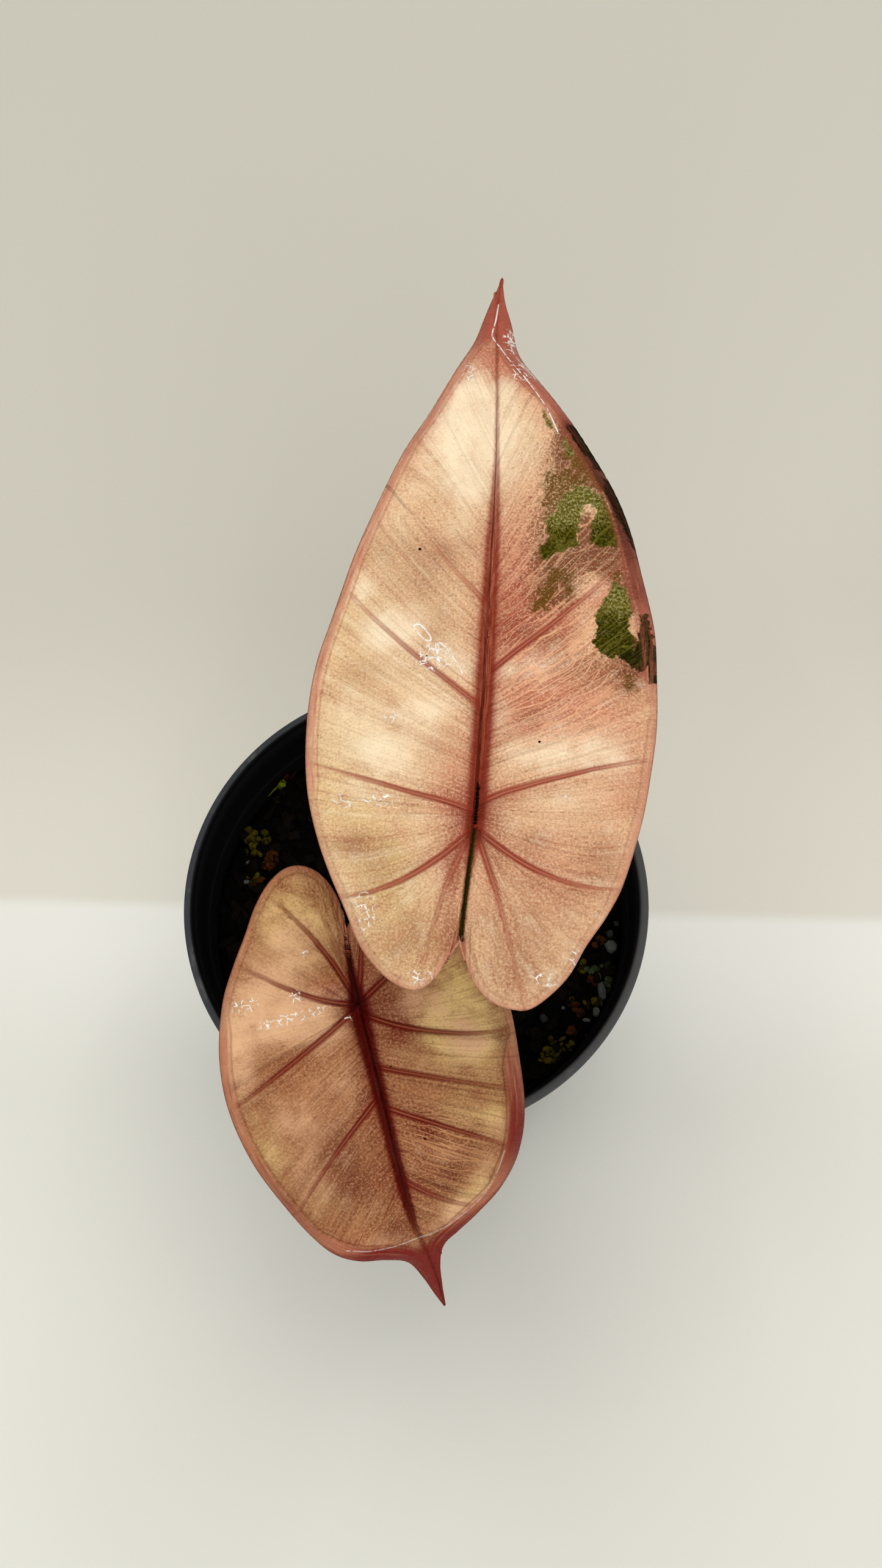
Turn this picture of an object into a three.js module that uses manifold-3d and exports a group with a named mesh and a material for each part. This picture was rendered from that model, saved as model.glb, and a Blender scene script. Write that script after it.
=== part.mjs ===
// A small aroid with two shield-shaped leaves in a round nursery pot.
// Millimetres, +Z up. The origin is the centre of the pot's foot, and both leaves lie along Y.
import * as THREE from 'three';
import { mergeVertices } from 'three/addons/utils/BufferGeometryUtils.js';
import Module from 'manifold-3d';

const wasm = await Module();
wasm.setup();

// Driving sizes
const GAP = 0.3;                     // clearance between pieces that touch
const POT = {
  height: 85, rimRadius: 50, footRadius: 36, wall: 1.0, floor: 1.8,
  lipWidth: 2.2, lipThick: 1.8, bandDrop: 13, bandStep: 1.3, sides: 60,
  drains: 8, drainRadius: 3, drainCircle: 26,
};
const SOIL = {
  top: 70, swell: 0.6, lumps: 90, spread: 46, lumpHeight: 2.6, lumpRadius: 3.6, sides: 54, rings: 13,
};
const GOLDEN_TURN = Math.PI * (3 - Math.sqrt(5));
const CROWN = { x: 4, y: 1, radius: 6.8, above: 6, below: 15, sides: 20 };
const BLADE_THICK = 0.8;
const BLADE_ROWS = 46;               // rows across a blade from its back notch to its tip
const BLADE_SPANS = [0, 0.14, 0.31, 0.49, 0.66, 0.81, 0.91, 0.965, 1];

// Each blade lies in its own frame: a to its right and b towards its tip, seen from above,
// with the stalk's joint at 0, 0. rib is the line of the midrib and, behind the joint, the seam
// of the back lobes. A margin row is a, b and the place on the rib where its vein starts.
// A vein is its start on the rib, a bend point, an end point and its strength.
// A fold turns the margin down between two places along b, on the right (1) or left (-1).
const UPPER = {
  joint: [13.3, -8.5, 165], turn: -8, dip: 0, front: 118.5, back: 32.5,
  tipDrop: 4, lobeDrop: 3, camber: 0.0026, bendAt: 92, bend: 0.35, roll: 1.3, rollWidth: 2.4,
  folds: [{ side: 1, from: 34, to: 112, width: 4.4, drop: 2.2 },
    { side: -1, from: 62, to: 112, width: 3, drop: 0.8 }],
  rib: [[-1.8, -20.5], [-1, -11], [0, 0], [0.6, 14], [1, 28], [1.2, 43], [1.5, 58], [1.6, 72],
    [1.3, 86], [0.8, 99], [0.6, 110], [1.2, 118.5]],
  right: [[-1.8, -20.5, -20.5], [-1, -23.5, -19.5], [0.5, -27.5, -18], [3.5, -31, -16],
    [7.5, -32.5, -14], [11.5, -32, -11.5], [17, -27, -9], [20.5, -21, -7], [24, -15.5, -5],
    [27, -9, -3], [30, 2, 0], [31.5, 11, 3.5], [32.5, 20, 8], [32.5, 30, 13.5], [32, 40, 19],
    [30, 50, 25.5], [27.5, 60, 33], [23.5, 70, 43], [18.4, 79, 54], [12.8, 87, 66], [7.8, 94, 78],
    [5, 99, 88], [3.5, 105.5, 98], [2, 111.5, 108], [1.2, 118.5, 118.5]],
  left: [[-1.8, -20.5, -20.5], [-3.5, -23, -19.2], [-6, -27.5, -17.2], [-9.5, -29.8, -14.8],
    [-13.5, -28.5, -12.3], [-17, -25.5, -10], [-20, -21.5, -8], [-22.5, -16, -6], [-25.8, -9, -4],
    [-28.5, -2, -2], [-30.5, 5.5, 0.8], [-31.5, 14, 4.5], [-31.5, 23, 9], [-30.3, 32, 14],
    [-28.3, 40, 19], [-26, 48, 24.5], [-23, 58, 32], [-19.6, 67, 41], [-15.7, 76.5, 52],
    [-11.4, 84.5, 63], [-7.2, 92.5, 74.5], [-4, 100, 86], [-2.2, 106.5, 97], [-0.5, 112.5, 107.5],
    [1.2, 118.5, 118.5]],
  veins: [
    [0, [-5.5, -11], [-8.5, -27], 0.5], [0, [-12, -14], [-25.5, -13.5], 0.9],
    [2.9, [-15, 6.8], [-31, 11.5], 1], [11.8, [-15, 18.5], [-31, 27], 0.4],
    [22.7, [-15.8, 34], [-27, 47.5], 0.8], [42.8, [-8.2, 51.5], [-18.5, 70], 0.4],
    [62, [-5, 72], [-11, 86], 0.3],
    [0, [5.6, -15], [9.5, -31], 0.6], [0, [13.2, -12.2], [26.5, -10.5], 1],
    [4.6, [16, 10.4], [32, 14.5], 1], [15, [16, 20], [32.5, 35], 0.3],
    [29.3, [14, 39.5], [26.8, 53.4], 0.6], [47, [10, 58], [17.5, 80], 0.3],
  ],
  colour: 0xd9ae8c,
};
const LOWER = {
  joint: [-11.5, -33.5, 139], turn: -167, dip: 20, front: 65, back: 28.5,
  tipDrop: 9, lobeDrop: 3, camber: 0.004, bendAt: 45, bend: 0.9, roll: 1.3, rollWidth: 2.4,
  folds: [{ side: -1, from: 6, to: 52, width: 4.6, drop: 2.4 },
    { side: 1, from: 20, to: 50, width: 4, drop: 1.4 }],
  rib: [[-1.5, -11], [0, 0], [0.7, 8.2], [1.5, 18.9], [2.2, 27.2], [2.7, 34.6], [3, 42.6],
    [2.6, 47], [2.2, 51.5], [2, 58], [2.5, 65]],
  right: [[-1.5, -11, -11], [-2.3, -15.5, -9.7], [-2.7, -20, -8.5], [-1.5, -24.5, -7.3],
    [1, -27.5, -6.2], [4.5, -28.5, -5.2], [8.5, -27, -4.3], [12.5, -23.5, -3.5], [16, -19, -2.7],
    [20, -14, -1.9], [23.5, -9, -1.1], [26.5, -2.5, -0.3], [28.4, 4, 0.8], [29.3, 11, 2.4],
    [28.9, 18, 5.8], [27.3, 26, 10.8], [24.7, 34, 17.5], [22, 40, 24.5], [19, 44.3, 31],
    [14.8, 47.2, 37], [10.2, 48.7, 42.5], [6.4, 51, 47.5], [4.6, 56, 53.5], [3.6, 60.5, 59.5],
    [2.5, 65, 65]],
  left: [[-1.5, -11, -11], [-3.2, -15, -9.8], [-5.6, -20, -8.7], [-8.4, -24, -7.5],
    [-12, -26, -6.4], [-15.8, -25.6, -5.4], [-19.6, -22, -4.4], [-22.6, -16.5, -3.4],
    [-25, -9.5, -2.4], [-26.6, -1.5, -1.2], [-27.2, 6, 0.6], [-27, 13.5, 3], [-26, 20.5, 7.5],
    [-24.6, 27.5, 13], [-22.3, 34, 19.5], [-19.2, 39, 26.5], [-14.6, 43, 33.5],
    [-9.1, 45.8, 39.5], [-4.6, 47.8, 44.5], [-1, 49.8, 49], [0.7, 54, 54], [1.6, 59.5, 59.5],
    [2.5, 65, 65]],
  veins: [
    [0, [0, -13], [2.5, -27], 0.3], [0, [2, -13.5], [9.5, -24.5], 0.8],
    [0, [9, -3.5], [19, -14.4], 0.9], [0.5, [14.2, 6.2], [29.5, 12], 1],
    [17.6, [12, 24], [22.6, 33.6], 0.9], [35, [7, 39], [12.5, 46], 0.3],
    [0, [-4.5, -10], [-8, -24], 0.8], [0, [-10, -5], [-24, -12], 0.9],
    [1.5, [-12.5, 10.5], [-27, 14], 1], [11.8, [-12, 19], [-25.3, 26], 0.7],
    [19.8, [-9.5, 28], [-21, 36.5], 1], [34, [-2.5, 40.5], [-11, 45], 0.6],
  ],
  colour: 0xc49a74,
};

// A stalk follows its route from the crown. A section row is the place along the route, the
// half-width and half-thickness of its ellipse, and the radius that the ellipse is bent round
// where it sheathes its neighbour, or 0 where it is straight.
const UPPER_STALK = {
  route: [[5.2, 1.6, 76.3], [5.4, 1.8, 90], [7, 1.4, 110], [10, -2.2, 133], [12.7, -7, 150],
    [13.3, -8.5, 158.9]],
  sections: [[0, 3.0, 2.9, 0], [0.15, 2.7, 2.6, 0], [0.5, 2.2, 2.1, 0], [1, 1.7, 1.7, 0]],
  colour: 0xc98a78,
};
const LOWER_STALK = {
  route: [[1.05, -1.3, 76.3], [0.9, -1.5, 88], [-1.2, -6, 103], [-5.2, -16, 114],
    [-9.4, -27.5, 123.5], [-11.5, -33.4, 132.5]],
  sections: [[0, 6.4, 1.2, 4.9], [0.14, 5.4, 1.2, 5], [0.3, 3, 1.7, 9], [0.45, 2.2, 2.1, 0],
    [1, 1.6, 1.6, 0]],
  colour: 0xb97a66,
};
const STALK_STEPS = 26;
const STALK_SIDES = 12;

// Even, repeatable draws between 0 and 1
function seeded(seed) {
  let state = seed;
  return () => {
    state = (state * 1664525 + 1013904223) % 4294967296;
    return state / 4294967296;
  };
}

function smoothCurve(points) {
  const places = points.map((p) => new THREE.Vector3(p[0], p[1], p[2] ?? 0));
  return new THREE.CatmullRomCurve3(places, false, 'catmullrom', 0.5);
}

function geometryOf(vertices, faces) {
  const geometry = new THREE.BufferGeometry();
  geometry.setAttribute('position', new THREE.Float32BufferAttribute(vertices.flat(), 3));
  geometry.setIndex(faces.flat());
  return geometry;
}

function solidOf(geometry) {
  const bare = geometry.clone();
  bare.deleteAttribute('normal');
  bare.deleteAttribute('uv');
  const merged = mergeVertices(bare, 1e-4);
  return new wasm.Manifold(new wasm.Mesh({
    numProp: 3,
    vertProperties: new Float32Array(merged.attributes.position.array),
    triVerts: new Uint32Array(merged.index.array),
  }));
}

function geometryFromSolid(solid) {
  const mesh = solid.getMesh();
  const geometry = new THREE.BufferGeometry();
  geometry.setAttribute('position', new THREE.BufferAttribute(mesh.vertProperties, 3));
  geometry.setIndex(new THREE.BufferAttribute(mesh.triVerts, 1));
  return geometry;
}

function piece(name, geometry, colour, roughness) {
  const material = new THREE.MeshStandardMaterial({ color: colour, roughness, metalness: 0 });
  const mesh = new THREE.Mesh(geometry, material);
  mesh.name = name;
  return mesh;
}

// Pot: a tapered wall with a stepped band under a narrow, rounded lip
function potWallRadius(z) {
  const bandFoot = POT.height - POT.bandDrop;
  const topRadius = POT.rimRadius - POT.lipWidth - POT.bandStep;
  return THREE.MathUtils.mapLinear(z, 0, bandFoot, POT.footRadius, topRadius);
}

function potProfile() {
  const { height, rimRadius, wall, floor, lipWidth, lipThick, bandDrop, bandStep } = POT;
  const bandFoot = height - bandDrop;
  const bandRadius = potWallRadius(bandFoot) + bandStep;
  const innerTop = rimRadius - lipWidth;
  const outside = [
    [0, 0], [POT.footRadius - 1.6, 0], [POT.footRadius - 0.4, 0.5], [POT.footRadius, 1.8],
    [potWallRadius(bandFoot), bandFoot], [bandRadius, bandFoot + 1.4],
    [bandRadius + 0.3, height - lipThick - 0.8], [bandRadius + 0.9, height - lipThick],
    [rimRadius - 0.4, height - lipThick], [rimRadius, height - lipThick + 0.5],
    [rimRadius, height - 0.7], [rimRadius - 0.3, height - 0.2], [rimRadius - 0.9, height],
  ];
  const inside = [
    [innerTop + 0.8, height], [innerTop + 0.25, height - 0.3], [innerTop, height - 1],
    [bandRadius - wall, bandFoot + 1.6], [potWallRadius(bandFoot) - wall, bandFoot - 0.4],
    [potWallRadius(floor + 1.5) - wall, floor + 1.5], [POT.footRadius - wall - 1.6, floor], [0, floor],
  ];
  return [...outside, ...inside].map(([r, z]) => new THREE.Vector2(r, z));
}

function makePot() {
  const shell = new THREE.LatheGeometry(potProfile(), POT.sides).rotateX(Math.PI / 2);
  let solid = solidOf(shell);
  for (let i = 0; i < POT.drains; i += 1) {
    const angle = (i + 0.5) * 2 * Math.PI / POT.drains;
    const drain = new THREE.CylinderGeometry(POT.drainRadius, POT.drainRadius, 3 * POT.floor, 12);
    drain.rotateX(Math.PI / 2);
    drain.translate(POT.drainCircle * Math.cos(angle), POT.drainCircle * Math.sin(angle), POT.floor / 2);
    solid = solid.subtract(solidOf(drain));
  }
  return geometryFromSolid(solid);
}

// Soil: fills the pot below its rim, with lumps on top and a plain hole for the crown
function soilLumps() {
  const draw = seeded(7);
  return Array.from({ length: SOIL.lumps }, (_, i) => {
    const reach = SOIL.spread * Math.sqrt((i + 0.5) / SOIL.lumps);
    const angle = i * GOLDEN_TURN + draw() * 0.5;
    return {
      x: reach * Math.cos(angle), y: reach * Math.sin(angle),
      height: SOIL.lumpHeight * (0.3 + 0.7 * draw()), radius: SOIL.lumpRadius * (0.6 + 0.6 * draw()),
    };
  });
}

function makeSoil() {
  const lumps = soilLumps();
  const topHeight = (x, y) => {
    const swell = SOIL.swell * (Math.sin(x * 0.19 + 1) + Math.cos(y * 0.23 - x * 0.07));
    const lift = lumps.reduce((most, lump) => {
      const spread = ((x - lump.x) ** 2 + (y - lump.y) ** 2) / lump.radius ** 2;
      return Math.max(most, lump.height * (1 - spread));
    }, 0);
    return SOIL.top - 1.5 + swell + lift;
  };
  const side = (z) => potWallRadius(z) - POT.wall - GAP;
  const holeRadius = CROWN.radius + GAP;
  const holeFloor = SOIL.top - CROWN.below - GAP;
  const bottom = POT.floor + GAP;
  const vertices = [[0, 0, bottom]];
  const addRing = (place) => {
    for (let k = 0; k < SOIL.sides; k += 1) {
      const angle = k * 2 * Math.PI / SOIL.sides;
      vertices.push(place(Math.cos(angle), Math.sin(angle)));
    }
  };
  const baseRadius = POT.footRadius - POT.wall - 2.2;
  addRing((c, s) => [baseRadius * c, baseRadius * s, bottom]);
  addRing((c, s) => [side(6) * c, side(6) * s, 6]);
  const edgeZ = SOIL.top - 2.5;
  for (let ring = 0; ring <= SOIL.rings; ring += 1) {
    const part = ring / SOIL.rings;
    addRing((c, s) => {
      const x = THREE.MathUtils.lerp(side(edgeZ) * c, CROWN.x + holeRadius * c, part);
      const y = THREE.MathUtils.lerp(side(edgeZ) * s, CROWN.y + holeRadius * s, part);
      return [x, y, ring === 0 ? edgeZ : topHeight(x, y)];
    });
  }
  addRing((c, s) => [CROWN.x + holeRadius * c, CROWN.y + holeRadius * s, holeFloor]);
  vertices.push([CROWN.x, CROWN.y, holeFloor]);
  const faces = [];
  const ringCount = SOIL.rings + 4;
  const at = (ring, k) => 1 + ring * SOIL.sides + (k % SOIL.sides);
  for (let k = 0; k < SOIL.sides; k += 1) {
    faces.push([0, at(0, k + 1), at(0, k)]);
    for (let ring = 0; ring < ringCount - 1; ring += 1) {
      faces.push([at(ring, k), at(ring, k + 1), at(ring + 1, k + 1)]);
      faces.push([at(ring, k), at(ring + 1, k + 1), at(ring + 1, k)]);
    }
    faces.push([at(ringCount - 1, k), at(ringCount - 1, k + 1), vertices.length - 1]);
  }
  return geometryOf(vertices, faces);
}

// Crown: the short stem, ringed by old leaf scars
function makeCrown() {
  const low = SOIL.top - CROWN.below;
  const high = SOIL.top + CROWN.above;
  const r = CROWN.radius;
  const profile = [[0, low], [0.6 * r, low + 0.6], [0.9 * r, low + 4], [r, low + 9]];
  for (let z = SOIL.top; z < high - 1; z += 2) {
    profile.push([r, z], [0.93 * r, z + 0.9]);
  }
  profile.push([r, high - 1], [0.94 * r, high], [0, high]);
  const lathe = new THREE.LatheGeometry(profile.map(([x, z]) => new THREE.Vector2(x, z)), CROWN.sides);
  return lathe.rotateX(Math.PI / 2).translate(CROWN.x, CROWN.y, 0);
}

// Stalk: a bent-ellipse section carried along its route
function sectionAt(sections, v) {
  const next = Math.max(1, sections.findIndex((row) => row[0] >= v));
  const [from, to] = [sections[next - 1], sections[next]];
  const part = THREE.MathUtils.smoothstep(v, from[0], to[0]);
  const [wide, thick] = [1, 2].map((i) => THREE.MathUtils.lerp(from[i], to[i], part));
  const curl = THREE.MathUtils.lerp(from[3] ? 1 / from[3] : 0, to[3] ? 1 / to[3] : 0, part);
  return { wide, thick, curl };
}

function makeStalk(stalk, hugDirection) {
  const curve = smoothCurve(stalk.route);
  const vertices = [];
  for (let i = 0; i <= STALK_STEPS; i += 1) {
    const v = i / STALK_STEPS;
    const centre = curve.getPoint(v);
    const along = i === 0 ? new THREE.Vector3(0, 0, 1) : curve.getTangent(v);
    const towards = hugDirection.clone().addScaledVector(along, -hugDirection.dot(along)).normalize();
    const across = new THREE.Vector3().crossVectors(towards, along);
    const { wide, thick, curl } = sectionAt(stalk.sections, v);
    for (let k = 0; k < STALK_SIDES; k += 1) {
      const angle = (k + 0.5) * 2 * Math.PI / STALK_SIDES;
      const u = wide * Math.cos(angle);
      const w = thick * Math.sin(angle);
      const bentU = curl ? (1 / curl - w) * Math.sin(u * curl) : u;
      const bentW = curl ? 1 / curl - (1 / curl - w) * Math.cos(u * curl) : w;
      const place = centre.clone().addScaledVector(across, bentU).addScaledVector(towards, bentW);
      vertices.push(place.toArray());
    }
  }
  const faces = [];
  const at = (i, k) => i * STALK_SIDES + (k % STALK_SIDES);
  for (let i = 0; i < STALK_STEPS; i += 1) {
    for (let k = 0; k < STALK_SIDES; k += 1) {
      faces.push([at(i, k), at(i, k + 1), at(i + 1, k + 1)], [at(i, k), at(i + 1, k + 1), at(i + 1, k)]);
    }
  }
  // flat ends, closed by strips across the section
  for (let k = 0; k < STALK_SIDES / 2 - 1; k += 1) {
    const [near, far] = [k, STALK_SIDES - 1 - k];
    faces.push([at(0, near + 1), at(0, near), at(0, far)], [at(0, near + 1), at(0, far), at(0, far - 1)]);
    const n = STALK_STEPS;
    faces.push([at(n, near), at(n, near + 1), at(n, far)], [at(n, near + 1), at(n, far - 1), at(n, far)]);
  }
  return geometryOf(vertices, faces);
}

// Blade: rows follow the veins from the rib to the margin on both sides
// The rib's a at a given b
function ribPlace(curvePoints, b) {
  const next = Math.max(1, curvePoints.findIndex((p) => p.y >= b));
  const [from, to] = [curvePoints[next - 1], curvePoints[next]];
  return THREE.MathUtils.mapLinear(b, from.y, to.y, from.x, to.x);
}

const RIB_FADE = 0.75;               // what a rib or vein loses of its strength by its end
const VEIN_STEPS = 40;

// Points along every rib and vein, each with its strength, which fades towards the end
function veinPoints(blade, ribLine) {
  const ribs = ribLine.map((p) => {
    const reach = p.y > 0 ? p.y / blade.front : -p.y / blade.back;
    return { a: p.x, b: p.y, rib: 1 - RIB_FADE * reach, vein: 0 };
  });
  const side = blade.veins.flatMap(([start, bend, end, strength]) => {
    const root = [ribPlace(ribLine, start), start];
    const curve = new THREE.QuadraticBezierCurve(new THREE.Vector2(...root), new THREE.Vector2(...bend),
      new THREE.Vector2(...end));
    return curve.getPoints(VEIN_STEPS).map((p, i) => (
      { a: p.x, b: p.y, rib: 0, vein: strength * (1 - RIB_FADE * i / VEIN_STEPS) }));
  });
  return [...ribs, ...side];
}

const strongest = (points, a, b, key, width) => points.reduce((most, p) => {
  const spread = ((a - p.a) ** 2 + (b - p.b) ** 2) / width ** 2;
  return Math.max(most, p[key] * Math.exp(-spread));
}, 0);

const RIB_VALLEY = { depth: 1.3, width: 3.6 };
const VEIN_VALLEY = { depth: 0.8, width: 3.2 };
const RIB_RIDGE = { height: 2.2, width: 2.2 };
const VEIN_RIDGE = { height: 0.7, width: 1.8 };
const RIPPLE = { height: 0.45, length: 21, reach: 14 };
const NARROW = 5;                    // where a half-blade is narrower, its relief dies away
const FOLD_EASE = 12;                // length over which a fold starts and ends
const BEND_EASE = 6;                 // length over which the tip's bend reaches its slope

// Height over the blade's plane: an arch along it, a camber across it, valleys along its veins,
// a margin that rolls and folds down, and a slight ripple beside it
function bladeHeight(blade, points, a, b, edge, reach) {
  const { smoothstep } = THREE.MathUtils;
  const front = Math.max(0, b) / blade.front;
  const back = Math.max(0, -b) / blade.back;
  const past = Math.max(0, b - blade.bendAt);
  const arch = -blade.tipDrop * front ** 2 - blade.lobeDrop * back ** 2 - blade.camber * a * a
    - blade.bend * past * past / (past + BEND_EASE);
  const valley = RIB_VALLEY.depth * strongest(points, a, b, 'rib', RIB_VALLEY.width)
    + VEIN_VALLEY.depth * strongest(points, a, b, 'vein', VEIN_VALLEY.width);
  const roll = blade.roll * Math.max(0, 1 - edge / blade.rollWidth) ** 2;
  const folded = blade.folds.reduce((sum, fold) => {
    const along = smoothstep(b, fold.from, fold.from + FOLD_EASE)
      * (1 - smoothstep(b, fold.to - FOLD_EASE, fold.to));
    const across = Math.max(0, 1 - edge / fold.width) ** 1.4;
    return sum + (Math.sign(a) === fold.side ? fold.drop * along * across : 0);
  }, 0);
  const ripple = RIPPLE.height * Math.sin(2 * Math.PI * b / RIPPLE.length + Math.sign(a))
    * Math.max(0, 1 - edge / RIPPLE.reach) ** 2;
  return arch - valley + Math.min(1, reach / NARROW) * (ripple - roll - folded);
}

function bladeFrame(blade) {
  const turn = new THREE.Matrix4().makeRotationZ(THREE.MathUtils.degToRad(blade.turn));
  const dip = new THREE.Matrix4().makeRotationX(-THREE.MathUtils.degToRad(blade.dip));
  return new THREE.Matrix4().makeTranslation(...blade.joint).multiply(turn).multiply(dip);
}

function makeBlade(blade) {
  const ribLine = smoothCurve(blade.rib).getPoints(260);
  const points = veinPoints(blade, ribLine);
  const sides = [smoothCurve(blade.left), smoothCurve(blade.right)];
  const margins = sides.flatMap((curve) => curve.getPoints(240));
  const edgeOf = (a, b) => Math.sqrt(margins.reduce(
    (least, p) => Math.min(least, (a - p.x) ** 2 + (b - p.y) ** 2), Infinity));
  const spans = [...BLADE_SPANS.slice(1).reverse().map((s) => [0, s]), ...BLADE_SPANS.map((s) => [1, s])];
  const plan = [];
  const addPlace = (a, b, reach) => plan.push([a, b, reach]);
  addPlace(blade.left[0][0], blade.left[0][1], 0);
  for (let row = 1; row < BLADE_ROWS; row += 1) {
    const ends = sides.map((curve) => curve.getPoint(row / BLADE_ROWS));
    spans.forEach(([side, s]) => {
      const end = ends[side];
      const ribB = THREE.MathUtils.lerp((ends[0].z + ends[1].z) / 2, end.z, s);
      const ribA = ribPlace(ribLine, ribB);
      addPlace(THREE.MathUtils.lerp(ribA, end.x, s), THREE.MathUtils.lerp(ribB, end.y, s),
        Math.hypot(end.x - ribA, end.y - ribB));
    });
  }
  addPlace(blade.left.at(-1)[0], blade.left.at(-1)[1], 0);

  const topPlaces = plan.map(([a, b, reach]) => (
    [a, b, bladeHeight(blade, points, a, b, edgeOf(a, b), reach)]));
  const width = spans.length;
  const last = plan.length - 1;
  const at = (row, k) => 1 + (row - 1) * width + k;
  const topFaces = [];
  for (let k = 0; k < width - 1; k += 1) {
    topFaces.push([0, at(1, k + 1), at(1, k)]);
    for (let row = 1; row < BLADE_ROWS - 1; row += 1) {
      topFaces.push([at(row, k), at(row, k + 1), at(row + 1, k + 1)]);
      topFaces.push([at(row, k), at(row + 1, k + 1), at(row + 1, k)]);
    }
    topFaces.push([at(BLADE_ROWS - 1, k), at(BLADE_ROWS - 1, k + 1), last]);
  }
  const top = geometryOf(topPlaces, topFaces);
  top.computeVertexNormals();
  const normals = top.attributes.normal;
  const underPlaces = plan.map(([a, b, reach], i) => {
    const room = Math.min(1, reach / NARROW, edgeOf(a, b) / NARROW);
    const depth = BLADE_THICK + room * (RIB_RIDGE.height * strongest(points, a, b, 'rib', RIB_RIDGE.width)
      + VEIN_RIDGE.height * strongest(points, a, b, 'vein', VEIN_RIDGE.width));
    return topPlaces[i].map((value, axis) => value - depth * normals.getComponent(i, axis));
  });
  const count = plan.length;
  const underFaces = topFaces.map(([i, j, k]) => [i + count, k + count, j + count]);
  const rims = [0, width - 1].map((k) => [0, ...Array.from({ length: BLADE_ROWS - 1 },
    (_, i) => at(i + 1, k)), last]);
  const wall = rims.flatMap((rim, side) => rim.slice(1).flatMap((j, n) => {
    const i = rim[n];
    return side === 0 ? [[i, j, i + count], [j, j + count, i + count]]
      : [[i, i + count, j], [j, i + count, j + count]];
  }));
  return geometryOf([...topPlaces, ...underPlaces], [...topFaces, ...underFaces, ...wall])
    .applyMatrix4(bladeFrame(blade));
}

const TOWARDS_LOWER = new THREE.Vector3(-1, 0, 0);
const TOWARDS_UPPER = new THREE.Vector3(0.82, 0.57, 0);

const plant = new THREE.Group();
plant.add(piece('pot', makePot(), 0x1c1d20, 0.55));
plant.add(piece('soil', makeSoil(), 0x17120d, 0.95));
plant.add(piece('crown', makeCrown(), 0x8a6a4f, 0.7));
plant.add(piece('petiole_upper', makeStalk(UPPER_STALK, TOWARDS_LOWER), UPPER_STALK.colour, 0.45));
plant.add(piece('petiole_lower', makeStalk(LOWER_STALK, TOWARDS_UPPER), LOWER_STALK.colour, 0.45));
plant.add(piece('blade_upper', makeBlade(UPPER), UPPER.colour, 0.3));
plant.add(piece('blade_lower', makeBlade(LOWER), LOWER.colour, 0.3));
export default plant;
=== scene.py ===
"""A small aroid with two shield-shaped, variegated leaves in a round nursery pot.

The tables give millimetres, and MM turns them into Blender's metres. Each leaf blade lies in its
own frame: a to its right, b towards its tip and h up from it, with its stalk's joint at 0, 0, 0.
"""

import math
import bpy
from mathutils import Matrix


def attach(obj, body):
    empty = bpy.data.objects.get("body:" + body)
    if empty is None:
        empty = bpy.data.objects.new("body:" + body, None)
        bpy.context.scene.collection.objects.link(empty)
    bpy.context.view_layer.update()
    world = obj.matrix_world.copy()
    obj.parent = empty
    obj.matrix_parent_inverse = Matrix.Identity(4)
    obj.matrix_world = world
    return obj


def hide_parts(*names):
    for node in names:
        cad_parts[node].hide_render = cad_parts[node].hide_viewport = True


bl_info = {
    "name": "Potted Variegated Aroid",
    "version": (1, 0, 0),
    "blender": (4, 5, 0),
    "location": "3D View > Sidebar > Aroid",
    "description": "Makes a two-leaved variegated aroid in a black nursery pot",
    "category": "Add Mesh",
}

from types import SimpleNamespace

import bpy
import numpy as np
from bpy.props import FloatProperty, FloatVectorProperty, IntProperty, PointerProperty
from bpy.types import Operator, Panel, PropertyGroup
from mathutils import Matrix, Vector

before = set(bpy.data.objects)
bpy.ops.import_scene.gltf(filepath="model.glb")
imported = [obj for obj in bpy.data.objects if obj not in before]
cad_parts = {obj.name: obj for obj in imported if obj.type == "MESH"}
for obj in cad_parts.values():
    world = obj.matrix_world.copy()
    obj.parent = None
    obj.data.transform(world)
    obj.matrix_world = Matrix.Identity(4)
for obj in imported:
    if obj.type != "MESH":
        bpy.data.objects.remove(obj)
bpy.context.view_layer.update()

MM = 0.001
GAP = 0.3
GOLDEN_TURN = math.pi * (3 - math.sqrt(5))


def srgb(red, green, blue):
    """The linear colour of a display colour given as three numbers from 0 to 255."""
    parts = [value / 255 for value in (red, green, blue)]
    return tuple(p / 12.92 if p <= 0.04045 else ((p + 0.055) / 1.055) ** 2.4 for p in parts)


def length(name, text, millimetres):
    """A length property whose default is given in millimetres."""
    metres = millimetres * MM
    return FloatProperty(name=name, description=text, default=metres, unit="LENGTH", precision=4)


def colour(name, text, red, green, blue):
    """A colour property whose default is given as a display colour."""
    return FloatVectorProperty(
        name=name, description=text, default=srgb(red, green, blue), subtype="COLOR", min=0, max=1
    )


def share(name, text, default):
    """A property from 0 to 1."""
    return FloatProperty(name=name, description=text, default=default, min=0, max=1, subtype="FACTOR")


def power(name, text, watts):
    """The power of a light."""
    return FloatProperty(name=name, description=text, default=watts, unit="POWER")


# Sizes and colours that a user would change


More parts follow.
